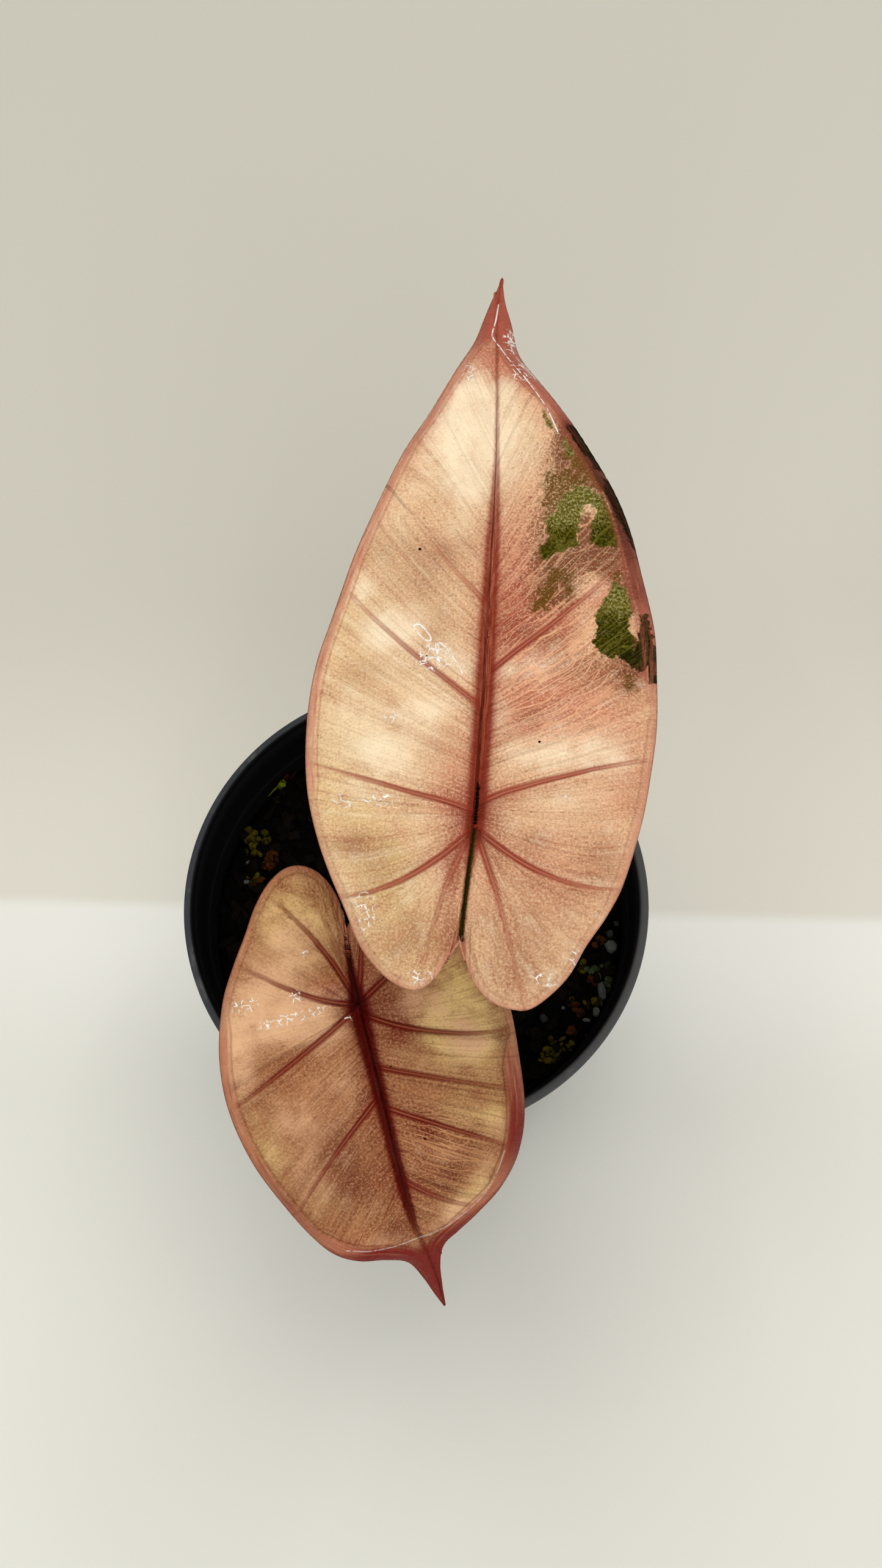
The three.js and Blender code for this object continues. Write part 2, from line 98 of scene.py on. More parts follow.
class PotSettings(PropertyGroup):
    height: length("Height", "From the foot to the top of the rim", 85)
    rim_radius: length("Rim radius", "Outer radius of the flat lip", 50)
    foot_radius: length("Foot radius", "Outer radius of the wall at the foot", 36)
    wall: length("Wall", "Thickness of the wall", 1.0)
    floor: length("Floor", "Thickness of the floor", 1.8)
    lip_width: length("Lip width", "Width of the rounded lip", 2.2)
    lip_thickness: length("Lip thickness", "Height of the lip's edge", 1.8)
    band_drop: length("Band drop", "From the rim down to the foot of the stepped band", 13)
    band_step: length("Band step", "How far the band stands out from the wall", 1.3)
    drain_radius: length("Drain radius", "Radius of a drain hole", 3)
    drain_circle: length("Drain circle", "Radius of the circle that the drain holes lie on", 26)
    plastic: colour("Plastic", "Colour of the moulded plastic", 26, 27, 29)
    dust: colour("Dust", "Colour of dried splashes and dust", 120, 118, 108)


class SoilSettings(PropertyGroup):
    top: length("Level", "Height of the potting mix above the pot's foot", 70)
    chips: IntProperty(name="Chips", description="Number of bark chips", default=520, min=0)
    grains: IntProperty(name="Grains", description="Number of pumice grains", default=46, min=0)
    # The peat and bark colours are near-black partly as painted shade: they stand in for the low light
    # inside the pot as well as for the wet mix's own dark tone
    peat: colour("Peat", "Colour of the wet fines", 3, 2, 2)
    bark: colour("Bark", "Colour of the bark chips", 13, 8, 4)
    moss: colour("Moss", "Colour of the moss and algae", 78, 70, 6)
    pumice: colour("Pumice", "Colour of the pumice grains", 80, 84, 82)
    husk: colour("Husks", "Colour of the coir husks", 72, 36, 8)
    shoot: colour("Shoots", "Colour of the fresh green bits", 118, 130, 10)
    lichen: colour("Lichen", "Colour of the greyish green bits", 62, 74, 48)


class StalkSettings(PropertyGroup):
    crown_radius: length("Crown radius", "Radius of the short stem", 6.8)
    upper: colour("Upper stalk", "Colour of the upper leaf's stalk", 196, 120, 92)
    lower: colour("Lower stalk", "Colour of the lower leaf's stalk", 170, 92, 66)
    scar: colour("Leaf scars", "Colour of the stem's old leaf scars", 96, 66, 42)


class BladeSettings(PropertyGroup):
    thickness: length("Thickness", "Thickness of a blade between its veins", 0.6)
    margin: length("Margin", "Thickness of a blade at its margin", 0.34)
    gloss: share("Gloss", "Weight of the wet, glossy coat", 0.02)
    roughness: share("Roughness", "Roughness of a blade below its coat", 0.42)


# A leaf colour is its key, label and description, and its tone on the upper and on the lower leaf.
# The pale tone also lays painted highlight on the swellings, and a mix of the pink and brown tones
# painted shade between them
LEAF_TONES = [
    ("ground", "Ground", "Ground between the veins", (233, 194, 149), (158, 105, 68)),
    ("pale", "Pale", "Lightest cells", (254, 232, 196), (230, 182, 139)),
    ("pink", "Pink", "Pink parts", (202, 119, 89), (170, 98, 64)),
    ("brown", "Brown", "Tanned parts", (157, 102, 68), (109, 55, 31)),
    ("straw", "Straw", "Yellowish parts", (226, 194, 128), (246, 216, 138)),
    ("olive", "Olive", "Brown tissue beside the green sectors", (104, 54, 22), (112, 62, 30)),
    ("veil", "Veil", "Olive veils", (92, 66, 4), (92, 72, 14)),
    ("fleck", "Flecks", "Flecks along the fine veins", (138, 62, 42), (92, 24, 12)),
    ("net", "Net", "Fine pale veins", (244, 184, 142), (214, 156, 106)),
    ("vein", "Veins", "Main veins", (152, 66, 49), (110, 24, 12)),
    ("rib", "Midrib", "Midrib", (123, 41, 24), (72, 6, 2)),
    ("rim", "Rim", "Band along the margin", (218, 150, 122), (192, 124, 94)),
    ("rose", "Rose", "Folded margin and tip", (177, 92, 74), (128, 40, 32)),
    ("green", "Green", "Green sectors", (86, 78, 6), (80, 88, 16)),
    ("bloom", "Bloom", "Silvery cells of the green sectors", (170, 162, 112), (170, 162, 112)),
    ("seam", "Seam", "Seam of the back lobes", (44, 44, 8), (70, 16, 8)),
    ("below", "Underside", "Underside", (190, 122, 94), (152, 80, 60)),
]


def leaf_tones(leaf):
    """The colour properties of the upper leaf (0) or of the lower one (1)."""
    return {key: colour(label, text, *tones[leaf]) for key, label, text, *tones in LEAF_TONES}


class UpperColours(PropertyGroup):
    __annotations__ = leaf_tones(0)


class LowerColours(PropertyGroup):
    __annotations__ = leaf_tones(1)


class StageSettings(PropertyGroup):
    floor: colour("Floor", "Colour of the floor", 237, 236, 226)
    key_power: power("Key light", "Power of the large soft light overhead", 9.1)
    side_power: power("Side lights", "Power of each side softbox", 4.2)
    glint_power: power("Glints", "Power of each small light", 0.12)
    ambient: share("Ambient", "Strength of the surrounding light", 0.12)
    lens: FloatProperty(name="Lens", description="Focal length in millimetres", default=50, min=1)


class AroidSettings(PropertyGroup):
    pot: PointerProperty(type=PotSettings)
    soil: PointerProperty(type=SoilSettings)
    stalks: PointerProperty(type=StalkSettings)
    blades: PointerProperty(type=BladeSettings)
    upper: PointerProperty(type=UpperColours)
    lower: PointerProperty(type=LowerColours)
    stage: PointerProperty(type=StageSettings)


# Tables of the leaves, in millimetres

# rib is the line of the midrib and, behind the joint, the seam of the back lobes. A margin row is
# a, b and the place on the rib where its fine vein starts. A vein is its start on the rib, a bend
# point, an end point and its strength. A fold turns the margin down between two places along b.
# A sector is an outline and its look: silvery (1), full green (0) or black (-1). A spot is its
# place, its two reaches and its weight. A band is its side, its two ends along b, its width and
# its weight. A glint is a painted highlight line and its weight, and a dot its place and its
# radius.
UPPER = {
    "joint": (13.3, -8.5, 165), "turn": -8, "dip": 0, "front": 118.5, "back": 32.5, "tip_drop": 4,
    "lobe_drop": 3, "camber": 0.0026, "bend_at": 92, "bend": 0.35, "roll": 1.3, "roll_width": 2.4,
    "folds": [
        {"side": 1, "from": 34, "to": 112, "width": 4.4, "drop": 2.2},
        {"side": -1, "from": 62, "to": 112, "width": 3, "drop": 0.8},
    ],
    "rib": [
        (-1.8, -20.5), (-1, -11), (0, 0), (0.6, 14), (1, 28), (1.2, 43), (1.5, 58), (1.6, 72),
        (1.3, 86), (0.8, 99), (0.6, 110), (1.2, 118.5),
    ],
    "right": [
        (-1.8, -20.5, -20.5), (-1, -23.5, -19.5), (0.5, -27.5, -18), (3.5, -31, -16), (7.5, -32.5, -14),
        (11.5, -32, -11.5), (17, -27, -9), (20.5, -21, -7), (24, -15.5, -5), (27, -9, -3), (30, 2, 0),
        (31.5, 11, 3.5), (32.5, 20, 8), (32.5, 30, 13.5), (32, 40, 19), (30, 50, 25.5), (27.5, 60, 33),
        (23.5, 70, 43), (18.4, 79, 54), (12.8, 87, 66), (7.8, 94, 78), (5, 99, 88), (3.5, 105.5, 98),
        (2, 111.5, 108), (1.2, 118.5, 118.5),
    ],
    "left": [
        (-1.8, -20.5, -20.5), (-3.5, -23, -19.2), (-6, -27.5, -17.2), (-9.5, -29.8, -14.8),
        (-13.5, -28.5, -12.3), (-17, -25.5, -10), (-20, -21.5, -8), (-22.5, -16, -6), (-25.8, -9, -4),
        (-28.5, -2, -2), (-30.5, 5.5, 0.8), (-31.5, 14, 4.5), (-31.5, 23, 9), (-30.3, 32, 14),
        (-28.3, 40, 19), (-26, 48, 24.5), (-23, 58, 32), (-19.6, 67, 41), (-15.7, 76.5, 52),
        (-11.4, 84.5, 63), (-7.2, 92.5, 74.5), (-4, 100, 86), (-2.2, 106.5, 97), (-0.5, 112.5, 107.5),
        (1.2, 118.5, 118.5),
    ],
    "veins": [
        (0, (-5.5, -11), (-8.5, -27), 0.5), (0, (-12, -14), (-25.5, -13.5), 0.9), (2.9, (-15, 6.8),
        (-31, 11.5), 0.85), (11.8, (-15, 18.5), (-31, 27), 0.15), (22.7, (-15.8, 34),
        (-27, 47.5), 0.62), (42.8, (-6.8, 50.5), (-13.5, 60), 0.4), (62, (-5, 72), (-11, 86), 0.12),
        (0, (5.6, -15), (9.5, -31), 0.6), (0, (13.2, -12.2), (26.5, -10.5), 1), (4.6, (16, 10.4),
        (32, 14.5), 1), (15, (16, 20), (32.5, 35), 0.18), (29.3, (14, 39.5), (26.8, 53.4), 0.75),
        (47, (10, 58), (17.5, 80), 0.15),
    ],
    "rib_half": [
        (-20.5, 0.3), (-10, 0.6), (-3, 1.5), (0, 1.9), (6, 2), (22, 1.9), (38, 1.7), (57, 1.35),
        (63, 1.1), (68, 0.75), (76, 0.5), (84, 0.42), (100, 0.35), (112, 0.2), (118.5, 0.15),
    ],
    "rib_gain": [
        (-20, 0.1), (-8, 0.3), (-2, 0.8), (2, 1), (40, 0.95), (56, 0.8), (66, 0.6), (72, 0.42),
        (80, 0.34), (94, 0.34), (104, 0.5), (118.5, 0.2),
    ],
    "core": 0.5, "slot": (0.6, 8.6),
    "bands": [
        (0, -60, 140, 0.8, 0.5), (-1, 4, 112, 1.8, 0.8), (1, 26, 92, 2.8, 0.85),
        (1, 84, 122, 3.6, 0.95), (1, -14, 24, 1.2, 0.6), (-1, 98, 124, 3.2, 0.95),
    ],
    "rosy": [
        (31, 46, 8, 20, 1), (16, 84, 9, 16, 0.9), (5, 98, 6, 12, 0.9), (1, 109, 6, 11, 1),
        (-14, 84, 4, 12, 0.3),
    ],
    "tip_from": (92, 104),
    "sectors": [
        (((9.8, 84.1), (11.1, 82.4), (13.2, 79.2), (12.5, 78.4), (11.3, 80.3), (10.1, 82.8)), 0.7),
        (((13.7, 76.1), (14.6, 77.1), (16.1, 75.6), (16.3, 73.2), (14.7, 74.7)), 0.7),
        (((14.9, 66.1), (16.7, 67.8), (18.4, 68), (19.9, 66.7), (22.5, 66.5), (22.9, 64.9), (23.3, 63),
          (24.4, 60.5), (24.9, 58), (24.8, 55.4), (23, 55.8), (19.7, 55.6), (19.5, 58.9), (20, 61),
          (21, 62.6), (20.2, 63.4), (18.7, 64), (17.9, 62.8), (18.2, 61), (17.4, 59), (17.2, 54.8),
          (15.8, 54.5), (13.8, 53.8), (11.1, 52.2), (9.8, 53.7), (11.2, 55.8), (12.2, 56.9),
          (11.1, 58.7), (11.3, 60.7), (12.7, 62.2), (13.8, 64.3)), 0.16),
        (((14.6, 81.5), (16.2, 83.5), (22, 76), (23, 73), (20.2, 72.4), (17.4, 76.4),
          (15.4, 79)), -1.2),
        (((21.6, 70.6), (24.6, 71), (28.6, 62), (29.8, 56), (27.6, 57), (25, 61.4), (22.8, 66)), -1.1),
        (((29.2, 42.6), (30.8, 43), (31.6, 39), (32.8, 35), (33.2, 29), (31.4, 29), (29.6, 31),
          (27.6, 31.4), (25.4, 33.4), (25, 35.6), (27, 37.4), (28.4, 37), (29, 38.6),
          (29, 40.6)), -0.46),
        (((24.4, 48.4), (26.4, 47.3), (27.5, 45.7), (28, 43.5), (27.8, 41.6), (26.9, 39.4), (28.3, 38),
          (29, 36.9), (29.6, 40.8), (30.3, 41.2), (31.4, 38), (32.1, 35.4), (32.4, 31), (32.3, 27),
          (31.4, 30.6), (30.6, 29.1), (29.6, 31), (28.4, 31.3), (26.6, 32.9), (25.1, 33.5),
          (23.1, 32.9), (21.7, 34.2), (20.6, 35.6), (20.7, 38), (20.8, 40.5), (21.5, 43),
          (22.8, 45.6)), 0.1),
    ],
    "veils": [
        ((10.6, 69.9), (12.5, 71), (15.4, 71.5), (18.2, 70), (19.6, 67.6), (17, 67), (14.9, 65),
          (13, 61), (11, 59.5), (10.4, 64), (10.7, 67)),
        ((12.5, 50.9), (14.4, 50.4), (16.6, 49), (16.8, 46.8), (16.1, 44.8), (15.2, 45.2), (14.6, 47.4),
          (13, 46.2), (12.5, 42.2), (9.6, 40.9), (8.4, 42.2), (9.9, 44.6), (11.2, 47.4)),
        ((23.6, 51.6), (25, 51), (26.2, 47), (24.4, 46.6), (23.4, 49)),
        ((26.4, 30.6), (28, 30.4), (28.6, 27.2), (27, 26.8)),
        ((14.6, 79), (18.4, 75), (22.4, 70.6), (24, 66), (21, 67.4), (17.2, 70.4), (14.4, 74)),
    ],
    "bloomy": [(17, 66, 7, 5, 1), (14, 62.5, 4, 3, 0.8), (25, 45, 4, 3.4, 0.9)],
    # Part of the pale spots is painted light: the blade is painted lighter towards its tip, where it lies
    # over the pale floor and light shines through it, and some pale spots are painted sheen on the
    # swellings
    "pale": [
        (-19, 37, 4.5, 4.5, 0.7), (-24, 22, 4, 4, 0.4), (-3.6, 76, 3, 14, 0.6), (5, 30, 2.4, 2.6, 0.5),
        (14, 22, 3, 3, 0.2), (-3.6, 78, 6.4, 12, 1), (4, 77, 6, 9, 0.7), (-10, 76, 5, 8, 0.35),
        (-15, 38, 5, 4, 1), (-5, 31, 5, 4, 0.7), (-22, 14, 8, 5, 0.35), (-15, 20, 8, 6, 0.35),
        (-22, -12, 4, 5, 0.4), (9, 31, 5, 3, 0.5), (20, 15, 7, 5, 0.4), (11, 13.6, 6, 3.6, 0.8),
        (16, 5, 6, 3, 0.4), (21, 47, 2.6, 2.6, 0.4), (-9, -11, 5, 5, 0.3), (-18, 62, 4, 6, 0.3),
        (-15, 12, 6, 5, 0.6), (-4, 68, 3, 5, 0.4), (-4, 84, 2.6, 4, 0.9), (3.4, 88, 2.4, 3, 0.5),
        (-22, 46, 3.4, 3, 0.7), (24, 14, 4, 4, 0.6), (-8, 22, 4, 3, 0.6), (-22, 6, 4, 3, 0.5),
        (4, 21, 3, 3, 0.5), (-16, 30, 3, 3, 0.2),
    ],
    "pink": [
        (17, 24, 16, 12, 0.75), (6, 44, 7, 16, 0.9), (26, 50, 7, 10, 0.6), (14, -8, 14, 14, 0.45),
        (-4, 8, 5, 10, 0.55), (-15, 84, 6, 14, 0.8), (-4, -12, 7, 10, 0.3), (5, 62, 5, 10, 0.22),
        (12, 82, 4.6, 7, 0.5), (11, 68, 5, 6, 0.2), (-2, 95, 6, 6, 1), (6, 91, 4, 6, 0.8),
        (28, 8, 6, 10, 0.4), (-9.4, 86, 4, 8, 1), (-20, 66, 3, 8, 0.5), (-24, 54, 2.6, 8, 0.5),
        (-4, 92, 4, 3, 0.9), (22, 45, 3, 3, 0.5), (12, 40, 5, 5, 1), (6, 6, 3, 3, 0.4),
        (8, 21, 4, 4, 0.4),
    ],
    # The brown spots on the back lobes are partly painted shade, where the blade lies over the dark pot
    "brown": [
        (-6.6, 66, 4, 4, 0.45), (-8, 53.5, 8, 4, 0.65), (28, 31, 4, 7, 0.8), (22, 30, 5, 3, 0.9),
        (16, 30, 5, 3, 0.5), (-12, 46, 6, 5, 0.5), (11, -18, 11, 13, 0.55), (-4, -20, 3, 7, 0.4),
        (-12, -21, 11, 7, 0.62), (-18, -7, 8, 6, 0.55), (10, 37, 7, 3.4, 0.9), (22, -6, 5, 7, 0.55),
        (30, 5, 4, 7, 0.3), (-22, -4, 4, 3, 0.4), (12, 66, 4, 5, 0.2), (-8, 38, 4, 4, 0.5),
        (-21, 29, 6, 4, 0.45), (9, 21, 4, 3, 0.6), (-8, 14, 3, 3, 0.4), (7, -27.4, 5, 4, 0.5),
        (-20, 54, 5, 6, 0.3), (10, -3, 4, 3, 0.4),
    ],
    "straw": [
        (-17, -8, 6, 6, 1), (-24, 8, 8, 16, 0.6), (-22, 38, 8, 12, 0.4), (-12, -18, 9, 10, 0.75),
        (-4, -22, 4, 5, 0.4), (5, 76, 6, 8, 0.3),
    ],
    "olive": [
        (15, 54, 6, 4, 0.8), (21.5, 54, 4, 4, 0.7), (10, 46, 4, 6, 0.6), (15, 46, 3.4, 5, 0.7),
        (15.6, 78, 3.4, 6, 1), (21.5, 70, 4, 4, 0.9), (11, 60, 4, 6, 0.5), (27, 46, 2.4, 5, 0.7),
        (15, 72, 6, 4, 0.5), (27, 31, 3, 5, 0.7), (21, 33, 3, 3, 0.4), (26, 60, 3, 6, 0.8),
        (18.6, 59, 1.6, 5, 0.8), (24, 51, 3, 4, 0.4), (19, 79, 2.6, 4, 0.8), (23.4, 71, 2.4, 4, 1),
        (26, 64, 2.4, 4, 1), (28.4, 57, 2.4, 5, 0.5), (30, 48, 2.2, 4, 0.4), (16, 53, 5, 2.4, 0.6),
        (18, 78, 3, 5, 0.8),
    ],
    "flush": [
        (8, 38, 5, 3, 0.6), (0, 1, 5, 6, 0.9), (-3.6, -8, 2.4, 6, 0.8), (4.2, -7, 2.4, 6, 0.4),
        (5, 41, 4, 11, 0.5), (-4, 6, 4, 4, 0.3), (-3.6, -19, 2, 5, 0.5), (1, 28, 4, 16, 0.3),
    ],
    "lined": [(15, 56, 12, 26, 1), (14, 26, 14, 14, 0.9), (-8, 56, 8, 8, 0.35), (14, -6, 12, 8, 0.4)],
    # Wet spots: the coat is glossier there, and a broken film of painted highlight lies on them
    "wet": [
        (-8.5, 32, 4, 3, 1), (-15.5, 20, 3, 1.5, 0.7), (-17, 4.3, 3.5, 1.4, 1), (-24, 4, 2, 1.6, 1),
        (-19, -14.5, 2, 2, 0.9), (-18.5, -18, 1.5, 2, 1), (-8.6, -27.6, 2.6, 1.4, 1),
        (13.4, -27.4, 2.4, 1.2, 1), (18.8, -24, 1.6, 2.2, 1), (16.1, 5.8, 1.6, 1.6, 0.6),
        (6, 93, 3, 3, 1), (-4.5, 91, 1.6, 2.6, 0.9), (3.4, 101, 1.6, 3.4, 1),
    ],
    # Painted highlight lines: rings and squiggles of wet marks, and the lit crease near the tip
    "painted_glints": [
        (((-12.6, 38.6), (-11.4, 38.4), (-10.2, 37.2), (-9.3, 35.8), (-9.4, 35.2), (-10.2, 35.3),
          (-11.4, 36.4), (-12.4, 37.8), (-12.6, 38.6)), 1),
        (((-7.6, 31.2), (-8.2, 33.2), (-8.3, 34.7), (-7.3, 34.6), (-5.8, 33), (-4.4, 31),
          (-3.4, 29.2)), 0.9),
        (((0.7, 110), (0.4, 106), (-0.2, 101.6), (1.4, 98.6), (3.9, 94.6), (6, 91.8), (7.9, 89),
          (10.9, 84.2), (13.1, 79.2)), 1),
        (((3.2, 104), (3.7, 99), (5.4, 95.8), (8.4, 92.2)), 0.7),
    ],
    "dots": [(-12.1, 53.7, 0.3), (-9.9, 32.2, 0.22), (11.2, 16, 0.25)],
}
LOWER = {
    "joint": (-11.5, -33.5, 139), "turn": -167, "dip": 20, "front": 65, "back": 28.5, "tip_drop": 9,
    "lobe_drop": 3, "camber": 0.004, "bend_at": 45, "bend": 0.9, "roll": 1.3, "roll_width": 2.4,
    "folds": [
        {"side": -1, "from": 6, "to": 52, "width": 4.6, "drop": 2.4},
        {"side": 1, "from": 20, "to": 50, "width": 4, "drop": 1.4},
    ],
    "rib": [
        (-1.5, -11), (0, 0), (0.7, 8.2), (1.5, 18.9), (2.2, 27.2), (2.7, 34.6), (3, 42.6), (2.6, 47),
        (2.2, 51.5), (2, 58), (2.5, 65),
    ],
    "right": [
        (-1.5, -11, -11), (-2.3, -15.5, -9.7), (-2.7, -20, -8.5), (-1.5, -24.5, -7.3), (1, -27.5, -6.2),
        (4.5, -28.5, -5.2), (8.5, -27, -4.3), (12.5, -23.5, -3.5), (16, -19, -2.7), (20, -14, -1.9),
        (23.5, -9, -1.1), (26.5, -2.5, -0.3), (28.4, 4, 0.8), (29.3, 11, 2.4), (28.9, 18, 5.8),
        (27.3, 26, 10.8), (24.7, 34, 17.5), (22, 40, 24.5), (19, 44.3, 31), (14.8, 47.2, 37),
        (10.2, 48.7, 42.5), (6.4, 51, 47.5), (4.6, 56, 53.5), (3.6, 60.5, 59.5), (2.5, 65, 65),
    ],
    "left": [
        (-1.5, -11, -11), (-3.2, -15, -9.8), (-5.6, -20, -8.7), (-8.4, -24, -7.5), (-12, -26, -6.4),
        (-15.8, -25.6, -5.4), (-19.6, -22, -4.4), (-22.6, -16.5, -3.4), (-25, -9.5, -2.4),
        (-26.6, -1.5, -1.2), (-27.2, 6, 0.6), (-27, 13.5, 3), (-26, 20.5, 7.5), (-24.6, 27.5, 13),
        (-22.3, 34, 19.5), (-19.2, 39, 26.5), (-14.6, 43, 33.5), (-9.1, 45.8, 39.5), (-4.6, 47.8, 44.5),
        (-1, 49.8, 49), (0.7, 54, 54), (1.6, 59.5, 59.5), (2.5, 65, 65),
    ],
    "veins": [
        (0, (0, -13), (2.5, -27), 0.3), (0, (2, -13.5), (9.5, -24.5), 0.8), (0, (9, -3.5),
        (19, -14.4), 0.9), (0.5, (14.2, 6.2), (29.5, 12), 1), (17.6, (12, 24), (22.6, 33.6), 0.9),
        (35, (7, 39), (12.5, 46), 0.3), (0, (-4.5, -10), (-8, -24), 0.8), (0, (-10, -5),
        (-24, -12), 0.9), (1.5, (-11.5, 11.3), (-27, 14), 1), (11.8, (-12, 19), (-25.3, 26), 0.7),
        (19.8, (-9.5, 28), (-21, 36.5), 1), (34, (-2.5, 40.5), (-11, 45), 0.6),
    ],
    "rib_half": [
        (-11, 0.6), (-4, 1.1), (0, 2.2), (4, 1.9), (20, 1.4), (32, 1.2), (40, 1), (44, 0.7), (50, 0.35),
        (65, 0.2),
    ],
    "rib_gain": [(-11, 0.2), (-3, 1), (38, 1), (42, 0.8), (46, 0.35), (65, 0.2)],
    "core": 0.06, "slot": None,
    "bands": [
        (0, -60, 100, 0.9, 0.6), (1, -6, 52, 1.8, 0.8), (-1, 16, 42, 3.4, 1), (-1, 36, 62, 2.5, 1),
        (1, 38, 62, 3, 1),
    ],
    "rosy": [
        (2.5, 58, 6, 9, 1), (-2, 49, 16, 4.5, 1), (12, 48, 7, 4, 0.9), (-22, 34, 6, 12, 1),
        (24, 32, 6, 12, 0.3),
    ],
    "tip_from": (45.6, 49.6),
    "sectors": [],
    "veils": [],
    "bloomy": [],
    # The pale spots round a = -17, b = 10 are also painted light: they lighten the part of the blade that
    # lies in the upper leaf's shade
    "pale": [
        (15, -1.5, 11, 3.6, 1), (-17, 12, 5, 5, 0.9), (-12, 2.6, 5, 4, 0.6), (11, -2, 7, 3, 0.8),
        (18, 18, 5, 5, 0.5), (-8, 44, 6, 2.6, 1), (16, -8, 6, 4.6, 1), (10, -15, 5, 5, 0.5),
        (7, 3, 5, 2.6, 1), (-9, 45, 6, 1.8, 1), (25, 4, 4, 9, 0.6), (8, 13, 5, 5, 0.4),
        (11, 44.6, 5, 1.6, 0.5), (19, 29, 3, 5, 0.6), (-18.6, 31, 3, 3, 0.5), (-13, 38.4, 4, 3, 0.5),
        (6, -15, 4, 5, 0.5), (-6, 32, 3, 2, 0.3),
    ],
    "pink": [
        (12, 14, 10, 10, 0.3), (-6, 30, 8, 7, 0.3), (-11, 2, 5, 4, 0.25), (-10, 20, 8, 5, 0.3),
        (-4, -4, 5, 5, 0.5), (5, -5, 3.4, 3, 0.9), (18, 38, 3, 4, 0.4), (13, 43, 5, 3, 0.5),
    ],
    "brown": [
        (6, 43, 4, 2.6, 0.9), (9, 33, 7, 6, 0.4), (-7, 36, 6, 4, 0.6), (0, 2, 3, 3, 0.6),
        (-5, 26, 4, 4, 0.65), (-24, 15, 2, 4, 0.6), (12, 32, 6, 3, 0.4), (18, 38, 4, 4, 0.4),
        (-6, 39, 4, 4, 0.38), (-12, 31, 4, 3, 0.35), (-12, 25, 4, 3, 0.25), (23, 8, 4, 5, 0.35),
        (12, 26, 5, 4, 0.7), (12, 20, 4, 3, 0.4), (-6, 2, 3, 4, 0.3), (-12, 19.6, 4, 3, 0.3),
    ],
    # The straw spots round a = -17, b = 10 are also painted light: they lighten the part of the blade
    # that lies in the upper leaf's shade
    "straw": [
        (-17, 12, 7, 7, 1), (-16.4, 8, 6, 5, 1), (6, -18, 8, 9, 0.6), (-18, 28, 5, 6, 0.5),
        (-18, 0, 5, 4, 0.6), (24, 20, 3, 8, 0.4), (-10, 25, 4, 4, 0.45), (-12, 40, 6, 3, 0.7),
        (18, 34, 4, 4, 0.3), (-8, 43, 5, 2, 0.6),
    ],
    "olive": [],
    "flush": [
        (0.6, 1, 4, 4, 0.9), (4, 20, 3, 9, 0.6), (-4, -6, 3, 4, 0.4), (-6, 7, 3.4, 3, 1),
        (-6, 1, 3, 3, 0.5), (-4.5, 26, 3, 4, 0.7), (4, 34, 3, 6, 0.4), (-2, 36, 4, 5, 0.4),
        (4, -4, 3, 2, 0.5), (11, 33, 5, 5, 0.35),
    ],
    "lined": [(-7, 30, 8, 9, 1), (9, 12, 8, 8, 0.5), (12, 40, 8, 5, 0.5), (10, 2, 8, 3, 0.5)],
    # Wet spots: the coat is glossier there, and a broken film of painted highlight lies on them
    "wet": [
        (11, -1.6, 6, 1.0, 1), (20, -6.6, 3, 1.6, 1), (10.6, -5.4, 1.2, 1.6, 1), (2.6, 2, 1.0, 0.8, 1),
        (17, -2.6, 3, 1, 0.8), (6.3, -12.2, 0.8, 1.2, 0.8),
    ],
    # Painted highlight line along the lit crease of the turned-down margin
    "painted_glints": [
        (((16.4, 44), (12.5, 45.4), (8, 46), (3.4, 46), (-2, 45.8), (-7, 44.4), (-11.6, 42.2),
          (-15.2, 38.8), (-17.6, 35.6)), 0.3),
    ],
    "dots": [(-4, 28, 0.22), (-2.2, 12.9, 0.16)],
}
# What the leaf finish reads at each vertex: measures and shares, and then the soft spots' fields
MARKS = ("edge", "rib_side", "rib_half", "rib_gain", "seam", "vein_side", "vein_near", "vein_way",
         "vein_gain", "green", "bloom", "ending", "veil", "band", "band_width", "glint_side",
         "glint_near", "glint_gain", "below")
SPOTS = ("pale", "pink", "brown", "straw", "olive", "flush", "lined", "wet", "rosy")

# Form of both blades. A valley or a ridge is its depth and its reach, a groove the same in the
# skin, and a quilt its height, wavelength, seed and number of waves.
RIB_STEPS = 260
VEIN_STEPS = 40
FINE_STEPS = 160
MARGIN_STEPS = 720
PAINTED_GLINT_STEPS = 300
RIB_FADE = 0.75
RIB_VALLEY = (1.3, 3.6)
VEIN_VALLEY = (0.8, 3.2)
RIB_RIDGE = (2.2, 2.2)
VEIN_RIDGE = (0.7, 1.8)
RIB_GROOVE = 0.22
VEIN_GROOVE = (0.3, 0.75)
SEAM_GROOVE = (0.7, 0.5)
MARGIN_GROOVE = (0.1, 2.7, 0.6)
QUILT = (0.16, 9, 3, 6)
FINE_QUILT = (0.07, 3.4, 5, 9)
RIPPLE = (0.45, 21, 14)
NARROW = 5
FOLD_EASE = 12
BEND_EASE = 6
BAND_EASE = 5
THIN_MARGIN = 2.5
FAR_INSIDE = 9.0
FAR_OUTSIDE = -8.0
NARROW_BAND = 0.8
SIDE_SHIFT = 40
BLADE_ROWS = 300
BLADE_COLUMNS = 62
DOT_BLUR = 0.08
DOT_TONE = (0.004, 0.002, 0.001)

